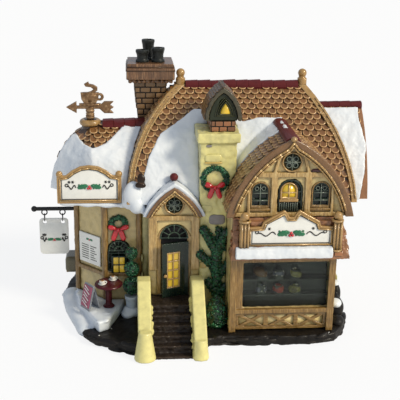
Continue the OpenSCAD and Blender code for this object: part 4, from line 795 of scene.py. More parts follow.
def leaf_shape(length):
    """A pointed leaf with a soft ridge."""
    bm = bmesh.new()
    bmesh.ops.create_icosphere(bm, subdivisions=1, radius=0.5)
    bmesh.ops.scale(bm, vec=(0.5 * length, length, 0.3 * length), verts=bm.verts[:])
    return bm


def leaf_places(mesh, count, rng, length, keep=None, lift=0.5):
    """Places for leaves that lie in all directions on a mesh and lift off it a little."""
    places = []
    for point, normal in sprinkle(mesh, count, rng, keep):
        way = any_way(rng)
        way = (way - normal * way.dot(normal)).normalized() + normal * rng.uniform(0, lift)
        side = way.cross(normal).normalized()
        matrix = Matrix((side, way.normalized(), side.cross(way.normalized()))).transposed().to_4x4()
        matrix.translation = point + way.normalized() * length * 0.15
        places.append(matrix @ Matrix.Scale(rng.uniform(0.7, 1.15), 4))
    return places


def arch_outline(width, height, steps=10):
    """Points round an arched opening whose foot is at the origin, in the plane of a front wall."""
    radius = width / 2
    turns = [math.pi * step / steps for step in range(steps + 1)]
    round_top = [(radius * math.cos(turn), height - radius + radius * math.sin(turn)) for turn in turns]
    return [(-radius, 0), (radius, 0)] + round_top


def round_outline(radius, steps=20):
    turns = [2 * math.pi * step / steps for step in range(steps)]
    return [(radius * math.cos(turn), radius * math.sin(turn)) for turn in turns]


def plate(bm, outline, place, front, back, index=0):
    """A plate in a front wall's plane: the outline set at a place, from its front to its back."""
    rings = [[bm.verts.new((place[0] + x, y, place[1] + z)) for x, z in outline] for y in (front, back)]
    prism(bm, *rings, index)


def rim(bm, outline, width, place, front, back, index=0):
    """A frame round an outline: it reaches inwards by its width, with a rounded front."""
    middle = Vector((sum(x for x, _ in outline), sum(z for _, z in outline))) / len(outline)
    spread = max(abs(x - middle.x) for x, _ in outline)
    inner = [tuple(middle + (Vector(point) - middle) * (1 - width / spread)) for point in outline]
    halfway = [((a + c) / 2, (b + d) / 2) for (a, b), (c, d) in zip(outline, inner)]
    low = front + 0.3 * (back - front)
    sections = ((outline, back), (outline, low), (halfway, front), (inner, low), (inner, back))
    rings = [[bm.verts.new((place[0] + x, y, place[1] + z)) for x, z in points] for points, y in sections]
    skin(bm, rings + rings[:1], index)


def cord(bm, points, radius, index=0, segments=8):
    """A round bar bent through the points."""
    for start, end in zip(points, points[1:]):
        reach = (end - start).normalized() * radius * 0.4
        bar(bm, start - reach, end + reach, radius, segments, index)


def gable_line(node, bulge, shrink, front, steps=12):
    """Points along a gabled roof's front edge, moved inwards: the roof's box gives its width and height."""
    low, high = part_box(node)
    half, rise, middle = (high.x - low.x) / 2, high.z - low.z, (low.x + high.x) / 2
    chord = math.hypot(half, rise)
    radius = (chord ** 2 / 4 + bulge ** 2) / (2 * bulge)
    along = Vector((half, rise)) / chord
    out = Vector((-along.y, along.x))
    centre = Vector((-half, 0)) + along * chord / 2 - out * (radius - bulge)
    reach = math.asin(chord / 2 / radius)
    left = []
    for step in range(steps + 1):
        turn = -reach + 2 * reach * step / steps
        point = centre + (radius - shrink) * (out * math.cos(turn) + along * math.sin(turn))
        if point.x < 0 and point.y >= 0:
            left.append(point)
    left.append(Vector((0, left[-1].y - left[-1].x * along.y / along.x)))
    line = left + [Vector((-point.x, point.y)) for point in reversed(left[:-1])]
    return [Vector((middle + point.x, front, low.z + point.y)) for point in line]


def pointed_outline(width, height, steps=8):
    """Points round a pointed arch whose foot is at the origin."""
    shares = [step / steps for step in range(steps + 1)]
    right = [(width / 2 * (1 - share ** 2), height * share) for share in shares]
    return right + [(-x, z) for x, z in reversed(right[:-1])]


def boxy(point):
    """Turns a point of the unit ball into one of a rounded block."""
    return Vector([math.copysign(abs(value) ** 0.55, value) for value in point])


def loop_of(side):
    """A pinch for a bow's loop at this side: thin at the knot and full at its outer end."""
    def pinch(point):
        return Vector((point.x, point.y, point.z * (0.62 + 0.38 * side * point.x)))

    return pinch


def any_way(rng):
    """A random direction."""
    return Vector([rng.gauss(0, 1) for _ in range(3)])


def rough(rng, depth=0.14):
    """A pinch that dents the unit ball here and there."""
    dents = [(any_way(rng).normalized(), rng.uniform(-depth, depth)) for _ in range(9)]

    def pinch(point):
        return point * (1 + sum(deep * max(point.dot(way), 0) ** 4 * 2 for way, deep in dents))

    return pinch


def torus(bm, centre, axis, radius, tube, around=32, across=10, index=0):
    """A ring round an axis."""
    turn = axis.to_track_quat("Z", "Y").to_matrix()
    rings = []
    for step in range(around):
        angle = 2 * math.pi * step / around
        out = Vector((math.cos(angle), math.sin(angle), 0))
        corners = []
        for part in range(across):
            lift = 2 * math.pi * part / across
            point = out * (radius + tube * math.cos(lift)) + UP * tube * math.sin(lift)
            corners.append(bm.verts.new(centre + turn @ point))
        rings.append(corners)
    skin(bm, rings + rings[:1], index)


def blob_run(bm, start, end, radius, index=0):
    """Rounded lumps in a row from one point to another."""
    count = max(2, round((end - start).length / radius / 0.9))
    for step in range(count + 1):
        blob(bm, start.lerp(end, step / count), Vector((radius, radius * 0.8, radius)), index=index)


def holly(bm, middle, size):
    """A sprig of holly in front of a board: two leaves in finish 1 and three berries in finish 2."""
    for side in (-1, 1):
        blob(bm, middle + size * at(side * 2.7, 0, 0.3), size * at(2.2, 0.35, 0.95), in_wall(side * 14), 3, 1)
        for share in (0.25, 0.6, 0.95):
            for edge in (-1, 1):
                tip = middle + size * at(side * (0.9 + 3.4 * share), 0, 0.3 + edge * 0.75)
                blob(bm, tip, size * at(0.42, 0.3, 0.42), None, 1, 1)
    for x, z in ((-0.5, -0.5), (0.5, -0.5), (0, 0.4)):
        blob(bm, middle + size * at(x, -0.1, z), size * at(0.5, 0.5, 0.5), None, 2, 2)


def faces_of(verts, index):
    """The faces at these corners, given a finish."""
    faces = {face for vert in verts for face in vert.link_faces}
    for face in faces:
        face.material_index = index
    return faces


def blob(bm, centre, size, turn=None, detail=2, index=0, pinch=None):
    """A rounded lump: a ball scaled, turned and moved. Pinch changes each corner of the unit ball first."""
    made = bmesh.ops.create_icosphere(bm, subdivisions=detail, radius=1.0)["verts"]
    for vert in made:
        point = Vector(vert.co)
        if pinch:
            point = pinch(point)
        point = Vector((point.x * size[0], point.y * size[1], point.z * size[2]))
        vert.co = centre + (turn @ point if turn else point)
    faces_of(made, index)


def bar(bm, start, end, radius, segments=10, index=0, end_radius=None):
    """A round bar from one point to another, closed at both ends."""
    run = end - start
    turn = run.to_track_quat("Z", "Y").to_matrix().to_4x4()
    matrix = Matrix.Translation((start + end) / 2) @ turn
    last = radius if end_radius is None else end_radius
    made = bmesh.ops.create_cone(bm, cap_ends=True, segments=segments, radius1=radius, radius2=last,
                                 depth=run.length, matrix=matrix)["verts"]
    faces_of(made, index)
    return made


def block(bm, low, high, round_by=0.0, index=0, turn=None):
    """A block between two corners with rounded edges, turned about its middle if asked."""
    size, centre = high - low, (low + high) / 2
    turned = turn.to_4x4() if turn else Matrix.Identity(4)
    matrix = Matrix.Translation(centre) @ turned @ Matrix.Diagonal((*size, 1.0))
    faces = faces_of(bmesh.ops.create_cube(bm, size=1.0, matrix=matrix)["verts"], index)
    if round_by:
        round_edges(bm, list({edge for face in faces for edge in face.edges}), round_by)


# Camera and stage
class VILLAGE_OT_stage(bpy.types.Operator):
    """Make the camera, the floor and the light"""

    bl_idname = "village.stage"
    bl_label = "Camera, Floor and Light"

    SUN_WAY, SUN_ANGLE, SUN_COLOUR = Vector((0.86, -0.6, 0.72)), math.radians(14), (1.0, 0.91, 0.74)
    SKY_COLOUR, WHITE = (0.86, 0.95, 1.08, 1), (1, 1, 1, 1)
    FLOOR_RADIUS, FLOOR_COLOUR, FLOOR_GLOW = 4.0, (0.9, 0.9, 0.9, 1), 0.84

    def execute(self, context):
        stage = context.scene.village_stage
        self.camera(context, stage)
        self.floor(context)
        self.light(context, stage)
        context.scene.view_settings.view_transform = "Standard"
        return {"FINISHED"}

    def camera(self, context, stage):
        forward = Vector((math.sin(stage.heading) * math.cos(stage.pitch),
                          math.cos(stage.heading) * math.cos(stage.pitch), -math.sin(stage.pitch)))
        level = Vector((math.cos(stage.heading), -math.sin(stage.heading), 0))
        above = level.cross(forward)
        side = level * math.cos(stage.roll) + above * math.sin(stage.roll)
        top = above * math.cos(stage.roll) - level * math.sin(stage.roll)
        data = bpy.data.cameras.new("photo_camera")
        data.lens = stage.lens
        data.clip_start, data.clip_end = 0.02, 20
        camera = bpy.data.objects.new("photo_camera", data)
        matrix = Matrix((side, top, -forward)).transposed().to_4x4()
        matrix.translation = stage.place
        camera.matrix_world = matrix
        context.scene.collection.objects.link(camera)
        context.scene.camera = camera

    def floor(self, context):
        bm = bmesh.new()
        bmesh.ops.create_circle(bm, cap_ends=True, segments=96, radius=self.FLOOR_RADIUS)
        mesh = bpy.data.meshes.new("floor")
        bm.to_mesh(mesh)
        bm.free()
        floor = bpy.data.objects.new("floor", mesh)
        context.scene.collection.objects.link(floor)
        made, web, shader = new_material("pale floor", 0.7)
        shader.inputs["Base Color"].default_value = self.FLOOR_COLOUR
        glow = web.add("ShaderNodeEmission", {"Strength": 1.0})
        share = web.math("MULTIPLY", self.seen(web), self.FLOOR_GLOW)
        self.mix(web, share, shader, glow, made.node_tree.nodes["Material Output"])
        mesh.materials.append(made)

    @staticmethod
    def seen(web):
        """One for rays that the camera sends, straight or through glass, and nought for the rest."""
        path = web.add("ShaderNodeLightPath").outputs
        return web.math("MAXIMUM", path["Is Camera Ray"], path["Is Transmission Ray"])

    @staticmethod
    def mix(web, share, first, second, output):
        mixed = web.add("ShaderNodeMixShader", {0: share, 1: first.outputs[0], 2: second.outputs[0]})
        web.put(output.inputs["Surface"], mixed.outputs[0])

    def light(self, context, stage):
        sun = bpy.data.lights.new("warm_sun", "SUN")
        sun.energy = stage.sun
        sun.angle = self.SUN_ANGLE
        sun.color = self.SUN_COLOUR
        lamp = bpy.data.objects.new("warm_sun", sun)
        lamp.rotation_euler = self.SUN_WAY.to_track_quat("Z", "Y").to_euler()
        context.scene.collection.objects.link(lamp)
        world = bpy.data.worlds.new("soft_sky")
        context.scene.world = world
        world.use_nodes = True
        web = Web(world.node_tree)
        sky = world.node_tree.nodes["Background"]
        sky.inputs["Color"].default_value = self.SKY_COLOUR
        sky.inputs["Strength"].default_value = stage.sky
        white = web.add("ShaderNodeBackground", {"Color": self.WHITE, "Strength": 1.0})
        self.mix(web, self.seen(web), sky, white, world.node_tree.nodes["World Output"])


class VILLAGE_OT_glazes(bpy.types.Operator):
    """Mix the glazes and finishes of the house"""

    bl_idname = "village.glazes"
    bl_label = "Glazes"

    def execute(self, context):
        make_glazes(context.scene.village_colours)
        return {"FINISHED"}


class VILLAGE_OT_base(bpy.types.Operator):
    """Dress the rocky base with its snow banks, the steps and the walls beside them"""

    bl_idname = "village.base"
    bl_label = "Base and Steps"

    # Centre and half size in millimetres
    ROCKS = (((85, -33, 10), (5, 8, 7)), ((86.5, -23, 15), (4, 6, 9)), ((83.5, -45, 6.5), (5, 6, 4)))
    ROCK_SNOW = (((84.6, -36, 14.6), (3.8, 5, 3)), ((86, -25, 23.6), (2.8, 4, 1.8)))
    POT_SNOW = (((-44.5, -28, 8), (6.2, 6, 4)), ((-47, -30.5, 7), (4.5, 4.5, 3)))
    # Run of the smooth snow bank at the left, and the half size of its lumps
    BANK = ((-84, 5, 5), (-83, -6, 5.4), (-80.8, -18, 5.4), (-77.4, -29, 5), (-74.2, -38, 4.4),
            (-72.6, -43, 3.6))
    BANK_LUMP = (6.4, 6.4, 4.6)
    # Foot, top, radius at the foot and at the top, in millimetres
    FLARES = (((-37.3, -77, 0), (-37.3, -75.6, 17), 6.6, 3.8),
              ((-4.7, -77.6, 0), (-4.7, -76.6, 12), 5.0, 3.8))
    RIM_STONES, DRIPS, SCRATCHES, SNOW_LUMPS = 90, 30, 16, 30

    def execute(self, context):
        dress("base_slab", "rock", 1.2, 6, 1.6, 5.0)
        dress("front_steps", "step rock", 0.45, 3, 1.1, 2.0)
        rng = random.Random(3)
        self.rocks(rng)
        self.snow(rng)
        self.stair_walls(rng)
        return {"FINISHED"}

    def rocks(self, rng):
        rocks = bmesh.new()
        for centre, size in self.ROCKS:
            blob(rocks, at(*centre), at(*size), pinch=rough(rng), detail=3)
        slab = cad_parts["base_slab"].data
        for place, normal in sprinkle(slab, self.RIM_STONES, rng, self.on_rim):
            size = at(rng.uniform(3, 8), rng.uniform(1.6, 2.8), rng.uniform(0.8, 1.8))
            along = standing(place, normal).to_3x3() @ Matrix.Rotation(math.radians(90), 3, "X")
            blob(rocks, place - normal * 1.1 * MM, size, along, pinch=rough(rng))
        melt(finish_piece("base_rocks", rocks, ["rock"]), 0.55, 2)
        marks = bmesh.new()
        for place, _ in sprinkle(slab, self.SCRATCHES, rng, lambda n, c: n.z > 0.9 and c.y < -20 * MM):
            turn = Matrix.Rotation(rng.uniform(0, 6.3), 3, "Z")
            run = turn @ at(rng.uniform(0.5, 1.2), 0, 0)
            bar(marks, place + at(0, 0, 0.5) - run, place + at(0, 0, 0.6) + run, 0.16 * MM, 6)
        finish_piece("scratches", marks, ["white"])

    def snow(self, rng):
        """The terrace's snow and the bank beside it as one skin, and the mounds on rocks and pot."""
        ground = copy_of("ground_snow")
        for start, end in zip(self.BANK, self.BANK[1:]):
            for share in (0, 0.25, 0.5, 0.75, 1):
                blob(ground, at(*start).lerp(at(*end), share), at(*self.BANK_LUMP), detail=3)
        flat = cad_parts["ground_snow"].data
        for place, _ in sprinkle(flat, self.SNOW_LUMPS, rng, lambda n, c: n.z > 0.9):
            size = at(rng.uniform(1.5, 3.5), rng.uniform(1.5, 3), 0.9)
            blob(ground, place - at(0, 0, 0.5), size, pinch=rough(rng))
        melt(finish_piece("terrace_snow", ground, ["snow"], replaces=("ground_snow",)), 0.6, 12)
        mounds = bmesh.new()
        for centre, size in self.ROCK_SNOW + self.POT_SNOW:
            blob(mounds, at(*centre), at(*size), pinch=rough(rng, 0.05), detail=3)
        melt(finish_piece("snow_mounds", mounds, ["snow"]), 0.6, 6)

    def stair_walls(self, rng):
        """The walls beside the steps with flared feet and ragged inner edges, as one skin."""
        bm = copy_of("stair_walls")
        for foot, top, wide, narrow in self.FLARES:
            bar(bm, at(*foot), at(*top), wide * MM, 24, end_radius=narrow * MM)
        low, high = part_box("front_steps")
        for _ in range(self.DRIPS):
            share = rng.random()
            x = rng.choice((low.x, high.x)) + rng.uniform(-0.5, 0.5) * MM
            y = low.y + share * 30 * MM
            z = share * high.z + rng.uniform(0.5, 2.5) * MM
            blob(bm, Vector((x, y, z)), at(rng.uniform(0.9, 1.7), rng.uniform(1, 2), rng.uniform(1, 2.4)))
        melt(finish_piece("stair_cast", bm, ["cream"], replaces=("stair_walls",)), 0.55, 7)

    @staticmethod
    def on_rim(normal, centre):
        """Whether a face is on the front or side rim of the base, clear of the steps."""
        steps = -44 * MM < centre.x < 4 * MM and centre.y < -40 * MM
        return abs(normal.z) < 0.3 and centre.y < 20 * MM and not steps


class VILLAGE_OT_walls(bpy.types.Operator):
    """Dress the plaster walls and the stair tower, and set the stones that show in them"""

    bl_idname = "village.walls"
    bl_label = "Walls and Tower"

    # Finish, place and half size in millimetres
    STONES = (
        ("stone grey", (2, -33, 117.2), (1.7, 0.6, 0.8)), ("cream", (4.8, -33, 109.6), (5.2, 0.9, 2.4)),
        ("stone gold", (4.8, -33.2, 106.8), (5.4, 0.8, 0.6)), ("stone grey", (7.8, -33, 70.6), (5, 0.7, 3.2)),
        ("stone gold", (-0.3, -33, 40.7), (2.2, 0.6, 2.2)), ("stone grey", (26.5, -54, 79.6), (3, 0.6, 2.2)),
        ("stone grey", (68.6, -54, 78.4), (2, 0.6, 1.7)), ("cream", (13.4, -33, 84), (3.6, 0.5, 2.2)),
        ("cream", (1.4, -33, 78), (3.4, 0.5, 2)), ("cream", (14, -33, 60), (3, 0.5, 2.6)),
        ("stone gold", (15.4, -33, 26), (2, 0.5, 1.7)), ("cream", (2.4, -33, 30), (3.2, 0.5, 2)),
    )
    # Lowest and highest corner of the box on the tea room's side, and its roundness
    WALL_BOX, BOX_ROUND = ((-87.6, -0.8, 23), (-78.4, 14.8, 33.9)), 2.0 * MM
    BACK_STONES = 80
    # How far the back's stones stay off the middle of the lamp's plate and off the wall's foot and top
    LAMP_CLEAR, EDGE_CLEAR = 26 * MM, 8 * MM
    # The side gable's size against its roof's, the planes of its plate and the radius of its bead
    GABLE_SHARE, GABLE_PLANES, GABLE_BEAD = 0.84, (0.35, -0.5), 0.7 * MM

    def execute(self, context):
        dress("main_walls", "house plaster", 1.3, 3, 0.9, 5.0)
        dress("tea_walls", "tea plaster", 1.0, 3, 0.9, 4.0)
        dress("bakery_walls", "gable plaster", 0.9, 3, 0.8, 4.0)
        dress("porch_walls", "gable plaster", 0.55, 3, 0.6, 3.0)
        dress("stair_tower", "cream", 0.6, 6, 1.2, 3.5)
        finishes = ["cream", "stone grey", "stone gold"]
        stones = bmesh.new()
        for finish, centre, size in self.STONES:
            blob(stones, at(*centre), at(*size), pinch=boxy, detail=3, index=finishes.index(finish))
        finish_piece("wall_stones", stones, finishes)
        box = bmesh.new()
        block(box, at(*self.WALL_BOX[0]), at(*self.WALL_BOX[1]), self.BOX_ROUND)
        melt(finish_piece("wall_box", box, ["olive box"]), 0.4, 6)
        self.back_stones(random.Random(23))
        self.side_gable()
        return {"FINISHED"}

    def back_stones(self, rng):
        """Stones that show through the plaster of the back and the sides, clear of the lamp's plate."""
        low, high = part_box("main_walls")
        lamp = middle_of("lamp_holder")

        def outer(normal, centre):
            back = normal.y > 0.95 and centre.y > high.y - 2 * MM
            side = abs(normal.x) > 0.95 and min(centre.x - low.x, high.x - centre.x) < 2 * MM
            return back or side

        finishes = ["house plaster", "stone grey", "stone gold"]
        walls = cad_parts["main_walls"].data
        bm = bmesh.new()
        for place, normal in sprinkle(walls, self.BACK_STONES, rng, outer):
            beside_lamp = (place - lamp).xz.length < self.LAMP_CLEAR and normal.y > 0.95
            if beside_lamp or not low.z + self.EDGE_CLEAR < place.z < high.z - self.EDGE_CLEAR:
                continue
            size = at(rng.uniform(3, 5.2), rng.uniform(1.6, 2.4), 0.6)
            index = rng.choices((0, 1, 2), weights=(8, 1, 1))[0]
            blob(bm, place, size, standing(place, normal).to_3x3(), detail=3, index=index, pinch=boxy)
        finish_piece("back_stones", bm, finishes)

    def side_gable(self):
        """The plastered gable at the end of the right wing, inside the edge of its roof."""
        points = flat_outline("side_roof", RIGHT)
        centre = sum(points, Vector()) / len(points)
        centre.z = min(point.z for point in points)
        inner = [centre + (point - centre) * self.GABLE_SHARE for point in points]
        outlines = [[point + at(lift, 0, 0) for point in inner] for lift in self.GABLE_PLANES]
        bm = bmesh.new()
        prism(bm, *([bm.verts.new(point) for point in outline] for outline in outlines))
        cord(bm, outlines[0] + outlines[0][:1], self.GABLE_BEAD, 1)
        finish_piece("side_gable", bm, ["house plaster", "rib gold"], smooth=False)


class VILLAGE_OT_shingles(bpy.types.Operator):
    """Lay the shingles on all the roofs, and dress the ridges, ribs and finials"""

    bl_idname = "village.shingles"
    bl_label = "Shingled Roofs"

    TILE_LENGTH = 7.6 * MM
    SHORTEST_RIDGE = 8 * MM
    # Shingles stay this far off the weathervane's axis, and tilt so that each end lies on the next course
    VANE_CLEAR, TILT = 7.2 * MM, math.radians(-8)
    # Roof, the ways its slopes look, and the nodes that cover it in part
    DIAGONALS = (Vector((-1, -1, 0)).normalized(), Vector((-1, 1, 0)).normalized())
    ROOFS = (
        ("main_roof", SIDES, ("roof_snow", "bakery_roof", "stair_tower", "lantern_house", "ridge_caps",
                              "porch_roof", "tea_roof", "side_roof")),
        ("tea_roof", (FRONT, BACK, LEFT, *DIAGONALS), ("tea_roof_snow", "ridge_caps", "chimney_stack",
                                                       "tea_sign_board", "main_roof", "porch_roof")),
        ("side_roof", (FRONT, BACK), ("roof_snow", "ridge_caps", "main_roof")),
        ("bakery_roof", (LEFT, RIGHT), ("roof_snow", "ridge_caps", "main_roof")),
    )
    # Place and half size in millimetres of the lumps that end the rib
    RIB_END = (((-38.4, -31, 96), (2.6, 1.6, 4)), ((-38.8, -31.4, 92.6), (3.2, 1.6, 2.2)))
    # Heights in millimetres at which the ribs' lines are placed, how far across a rib, and their radius
    RIB_HEIGHTS, RIB_SHARES, RIB_LINE = range(2, 62, 3), (0.15, 0.8), 0.6 * MM
    # Height, radius and thickness of the cushion under the weathervane, and place and half size of the knob
    CUSHION, KNOB = (121.4, 4.8, 2.1), ((48.5, -56.6, 127.2), (1.9, 2.2, 1.5))

    def execute(self, context):
        sizes = context.scene.village_sizes
        width, course = sizes.tile_width, sizes.tile_course
        rng = random.Random(7)
        for node, ways, covers in self.ROOFS:
            places = [place for way in ways
                      for place in cladding(node, way, width, course, rng, covers, self.TILT, 0.75)]
            places = [place for place in places
                      if (place.translation - VANE_AXIS).to_2d().length > self.VANE_CLEAR]
            shape = shingle_shape(width * 0.96, course * 1.9, sizes.tile_proud)
            finish_piece(f"{node}_shingles", scatter(shape, places, rng), ["shingles"])
            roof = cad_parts[node]
            roof.data.materials.clear()
            roof.data.materials.append(paint("roof edge" if node == "side_roof" else "roof backing"))
        dress("ridge_caps", "burgundy", 0.5, 2)
        dress("roof_finials", "gold", 0.3, 3)
        dress("hip_ribs", "rib gold", 0.42, 4, 0.3, 3.0)
        self.ridge_tiles(rng)
        self.rib_lines()
        self.trimmings(rng)
        return {"FINISHED"}

    def ridge_tiles(self, rng):
        """Half-round tiles along each ridge, each a little wider at one end."""
        bm = bmesh.new()
        for low, high in islands("ridge_caps"):
            size = high - low
            along, across = (0, 1) if size.x > size.y else (1, 0)
            if size[along] < self.SHORTEST_RIDGE:
                continue
            count = round(size[along] / self.TILE_LENGTH)
            for step in range(count):
                start, end = (low + high) / 2, (low + high) / 2
                start[along] = low[along] + size[along] * step / count
                end[along] = low[along] + size[along] * (step + 1) / count
                start.z = end.z = low.z
                half = size[across] / 2 + 0.2 * MM
                made = bar(bm, start, end, half, 16, end_radius=half * 1.1)
                flat = (size.z + rng.uniform(0.1, 0.7) * MM) / half
                bmesh.ops.scale(bm, vec=(1, 1, flat), space=Matrix.Translation(-start), verts=made)
        tiles = finish_piece("ridge_tiles", bm, ["burgundy"], smooth=False)
        tiles.modifiers.new("round", "BEVEL").width = 0.25 * MM

    def rib_lines(self):
        """Two raised lines along each front rib, placed where the rib is seen from the front."""
        tree = surface_of("hip_ribs")
        low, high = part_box("hip_ribs")
        middle = (low.x + high.x) / 2
        bm = bmesh.new()
        for side in (-1, 1):
            rows = []
            for height in self.RIB_HEIGHTS:
                start = Vector((middle, low.y - 20 * MM, low.z + height * MM))
                hits = [tree.ray_cast(start + RIGHT * side * step * 0.4 * MM, BACK)[0] for step in range(200)]
                hits = [place for place in hits if place is not None]
                if hits:
                    rows.append(hits)
            for share in self.RIB_SHARES:
                line = [hits[int(share * (len(hits) - 1))] for hits in rows]
                line = [(before + 2 * here + after) / 4
                        for before, here, after in zip(line[:1] + line, line, line[1:] + line[-1:])]
                cord(bm, line, self.RIB_LINE)
        finish_piece("rib_lines", bm, ["rib gold"])

    def trimmings(self, rng):
        """The cushion under the weathervane, the knob on the bakery's ridge and the rib's rough end."""
        bm = bmesh.new()
        height, radius, tube = at(*self.CUSHION)
        torus(bm, VANE_AXIS + UP * height, UP, radius, tube)
        blob(bm, at(*self.KNOB[0]), at(*self.KNOB[1]), pinch=rough(rng))
        finish_piece("roof_trimmings", bm, ["rib gold"])
        end = bmesh.new()
        for place, size in self.RIB_END:
            blob(end, at(*place), at(*size), pinch=rough(rng, 0.2))
        finish_piece("rib_end", end, ["mortar"])


class VILLAGE_OT_snow(bpy.types.Operator):
    """Dress the snow on the roofs and the canopy"""

    bl_idname = "village.snow"
    bl_label = "Snow"

    # Centre and half size in millimetres of the snow between the tea room and the porch
    LOBES = (((-43, -27.5, 85), (6.2, 4.5, 9)), ((-41, -29, 79), (5, 4, 5.5)),
             ((-37.6, -30.2, 76.6), (2, 2.4, 2.8)), ((-45, -26.5, 78.6), (4.6, 3.4, 3)),
             ((-46.6, -26.4, 79.6), (3.6, 3.6, 3.4)))
    # Ends of the snow along the tea room's eave, and the number of its lumps
    EAVE, EAVE_LUMPS = ((-86, -23, 79.2), (-50, -23.6, 77.6)), 20

    def execute(self, context):
        dress("roof_snow", "snow", 0.5, 6, 1.1, 6.0)
        dress("tea_roof_snow", "snow", 0.5, 6, 1.1, 6.0)
        dress("porch_roof", "snow", 0.5, 8, 1.0, 5.0)
        dress("canopy_snow", "snow", 0.4, 14, 0.7, 4.0)
        eaves = bmesh.new()
        for centre, size in self.LOBES:
            blob(eaves, at(*centre), at(*size), detail=3)
        start, end = (at(*corner) for corner in self.EAVE)
        for step in range(self.EAVE_LUMPS):
            place = start.lerp(end, step / (self.EAVE_LUMPS - 1))
            blob(eaves, place, at(2.6, 2.2, 2.0 + 0.5 * math.sin(step)))
        melt(finish_piece("eave_snow", eaves, ["snow"]), 0.5, 8)
        return {"FINISHED"}


class VILLAGE_OT_bricks(bpy.types.Operator):
    """Lay the bricks of the chimney, the lantern and the canopy"""

    bl_idname = "village.bricks"
    bl_label = "Brickwork"

    # Foot of the chimney's cap, and how far above it the cap is cut free
    STACK_TOP, CAP_CUT = 147 * MM, 0.3 * MM
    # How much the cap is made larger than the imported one
    CAP_GROWTH = (1.012, 1.012, 1.015)
    # Height in millimetres, size against the cap, of its rounded bars and its mortar lines
    CAP_BARS, CAP_LINES = ((155.4, 0.975), (149.4, 0.965)), ((154.4, 1.015), (156.6, 0.985))
    # Height in millimetres, size against the cap, and number on a side of the beads under the cap
    CAP_BEADS = (147.4, 0.86, 9)
    PROUD = 0.5 * MM
    CHIMNEY_BRICK, LANTERN_BRICK = at(7.4, 3.5, 0.5), at(5.6, 3.0, 0.4)
    SCALE_WIDTH, SCALE_COURSE, SCALE_PROUD = 2.6 * MM, 1.8 * MM, 0.5 * MM

    def execute(self, context):
        sizes = context.scene.village_sizes
        dress("chimney_stack", "mortar", 0.7, 3)
        dress("chimney_pots", "pot black", 0.35, 3, 0.3, 2.0)
        dress("lantern_base", "mortar", 0.5, 2)
        dress("lantern_house", "olive", 0.4, 3, 0.3, 2.0)
        dress("lantern_roof", "moss", 0.5, 4, 0.8, 2.0)
        dress("shop_canopy", "rough brick", 0.5, 2, 1.0, 1.8)
        rng = random.Random(11)
        low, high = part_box("chimney_stack")
        brick, top = self.CHIMNEY_BRICK, self.STACK_TOP
        stack = [place for side in SIDES
                 for place in brick_wall("chimney_stack", side, low.z, top, brick, rng)]
        finish_piece("chimney_bricks", scatter(brick_shape(), stack, rng), ["old brick"])
        self.mouldings((low + high) / 2, (high.x - low.x) / 2)
        low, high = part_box("lantern_base")
        brick = self.LANTERN_BRICK
        small = [place for side in (FRONT, LEFT, RIGHT)
                 for place in brick_wall("lantern_base", side, low.z, high.z, brick, rng)]
        length, course = sizes.brick_length, sizes.brick_height
        size = Matrix.Diagonal((length * 0.8, course * 0.86, 3 * self.PROUD, 1))
        for side in (FRONT, LEFT, RIGHT):
            laid = cladding("shop_canopy", side, length * 0.86, course, rng, ("canopy_snow",), facing=0.6)
            small += [place @ size for place in laid]
        finish_piece("small_bricks", scatter(brick_shape(), small, rng), ["brick"])
        width, course = self.SCALE_WIDTH, self.SCALE_COURSE
        scales = [place for side in (LEFT, RIGHT)
                  for place in cladding("lantern_roof", side, width, course, rng, ("main_roof",),
                                        math.radians(-8), 0.5)]
        shape = shingle_shape(width, course * 1.8, self.SCALE_PROUD)
        finish_piece("lantern_scales", scatter(shape, scales, rng), ["mossy shingles"])
        return {"FINISHED"}

    def mouldings(self, centre, half):
        """Rounded mouldings and a bumpy course round the chimney's cap."""
        bm = copy_of("chimney_stack")
        foot = Vector((centre.x, centre.y, self.STACK_TOP + self.CAP_CUT))
        geom = bm.verts[:] + bm.edges[:] + bm.faces[:]
        cut = bmesh.ops.bisect_plane(bm, geom=geom, plane_co=foot, plane_no=UP, clear_inner=True)["geom_cut"]
        bmesh.ops.holes_fill(bm, edges=[part for part in cut if isinstance(part, bmesh.types.BMEdge)])
        bmesh.ops.scale(bm, vec=self.CAP_GROWTH, space=Matrix.Translation(-foot), verts=bm.verts[:])

        def around(height, share):
            middle = Vector((centre.x, centre.y, height * MM))
            corners = ((-1, -1), (1, -1), (1, 1), (-1, 1), (-1, -1))
            return [middle + Vector((x, y, 0)) * half * share for x, y in corners]

        for height, share in self.CAP_BARS:
            cord(bm, around(height, share), 0.8 * MM, segments=12)
        lines = bmesh.new()
        for height, share in self.CAP_LINES:
            cord(lines, around(height, share), 0.3 * MM)
        finish_piece("cap_lines", lines, ["mortar"])
        height, share, beads = self.CAP_BEADS
        line = around(height, share)
        for start, end in zip(line, line[1:]):
            for step in range(beads):
                blob(bm, start.lerp(end, step / beads), at(1.3, 1.3, 1.2))
        melt(finish_piece("cap_mouldings", bm, ["chimney cap"]), 0.45, 2)


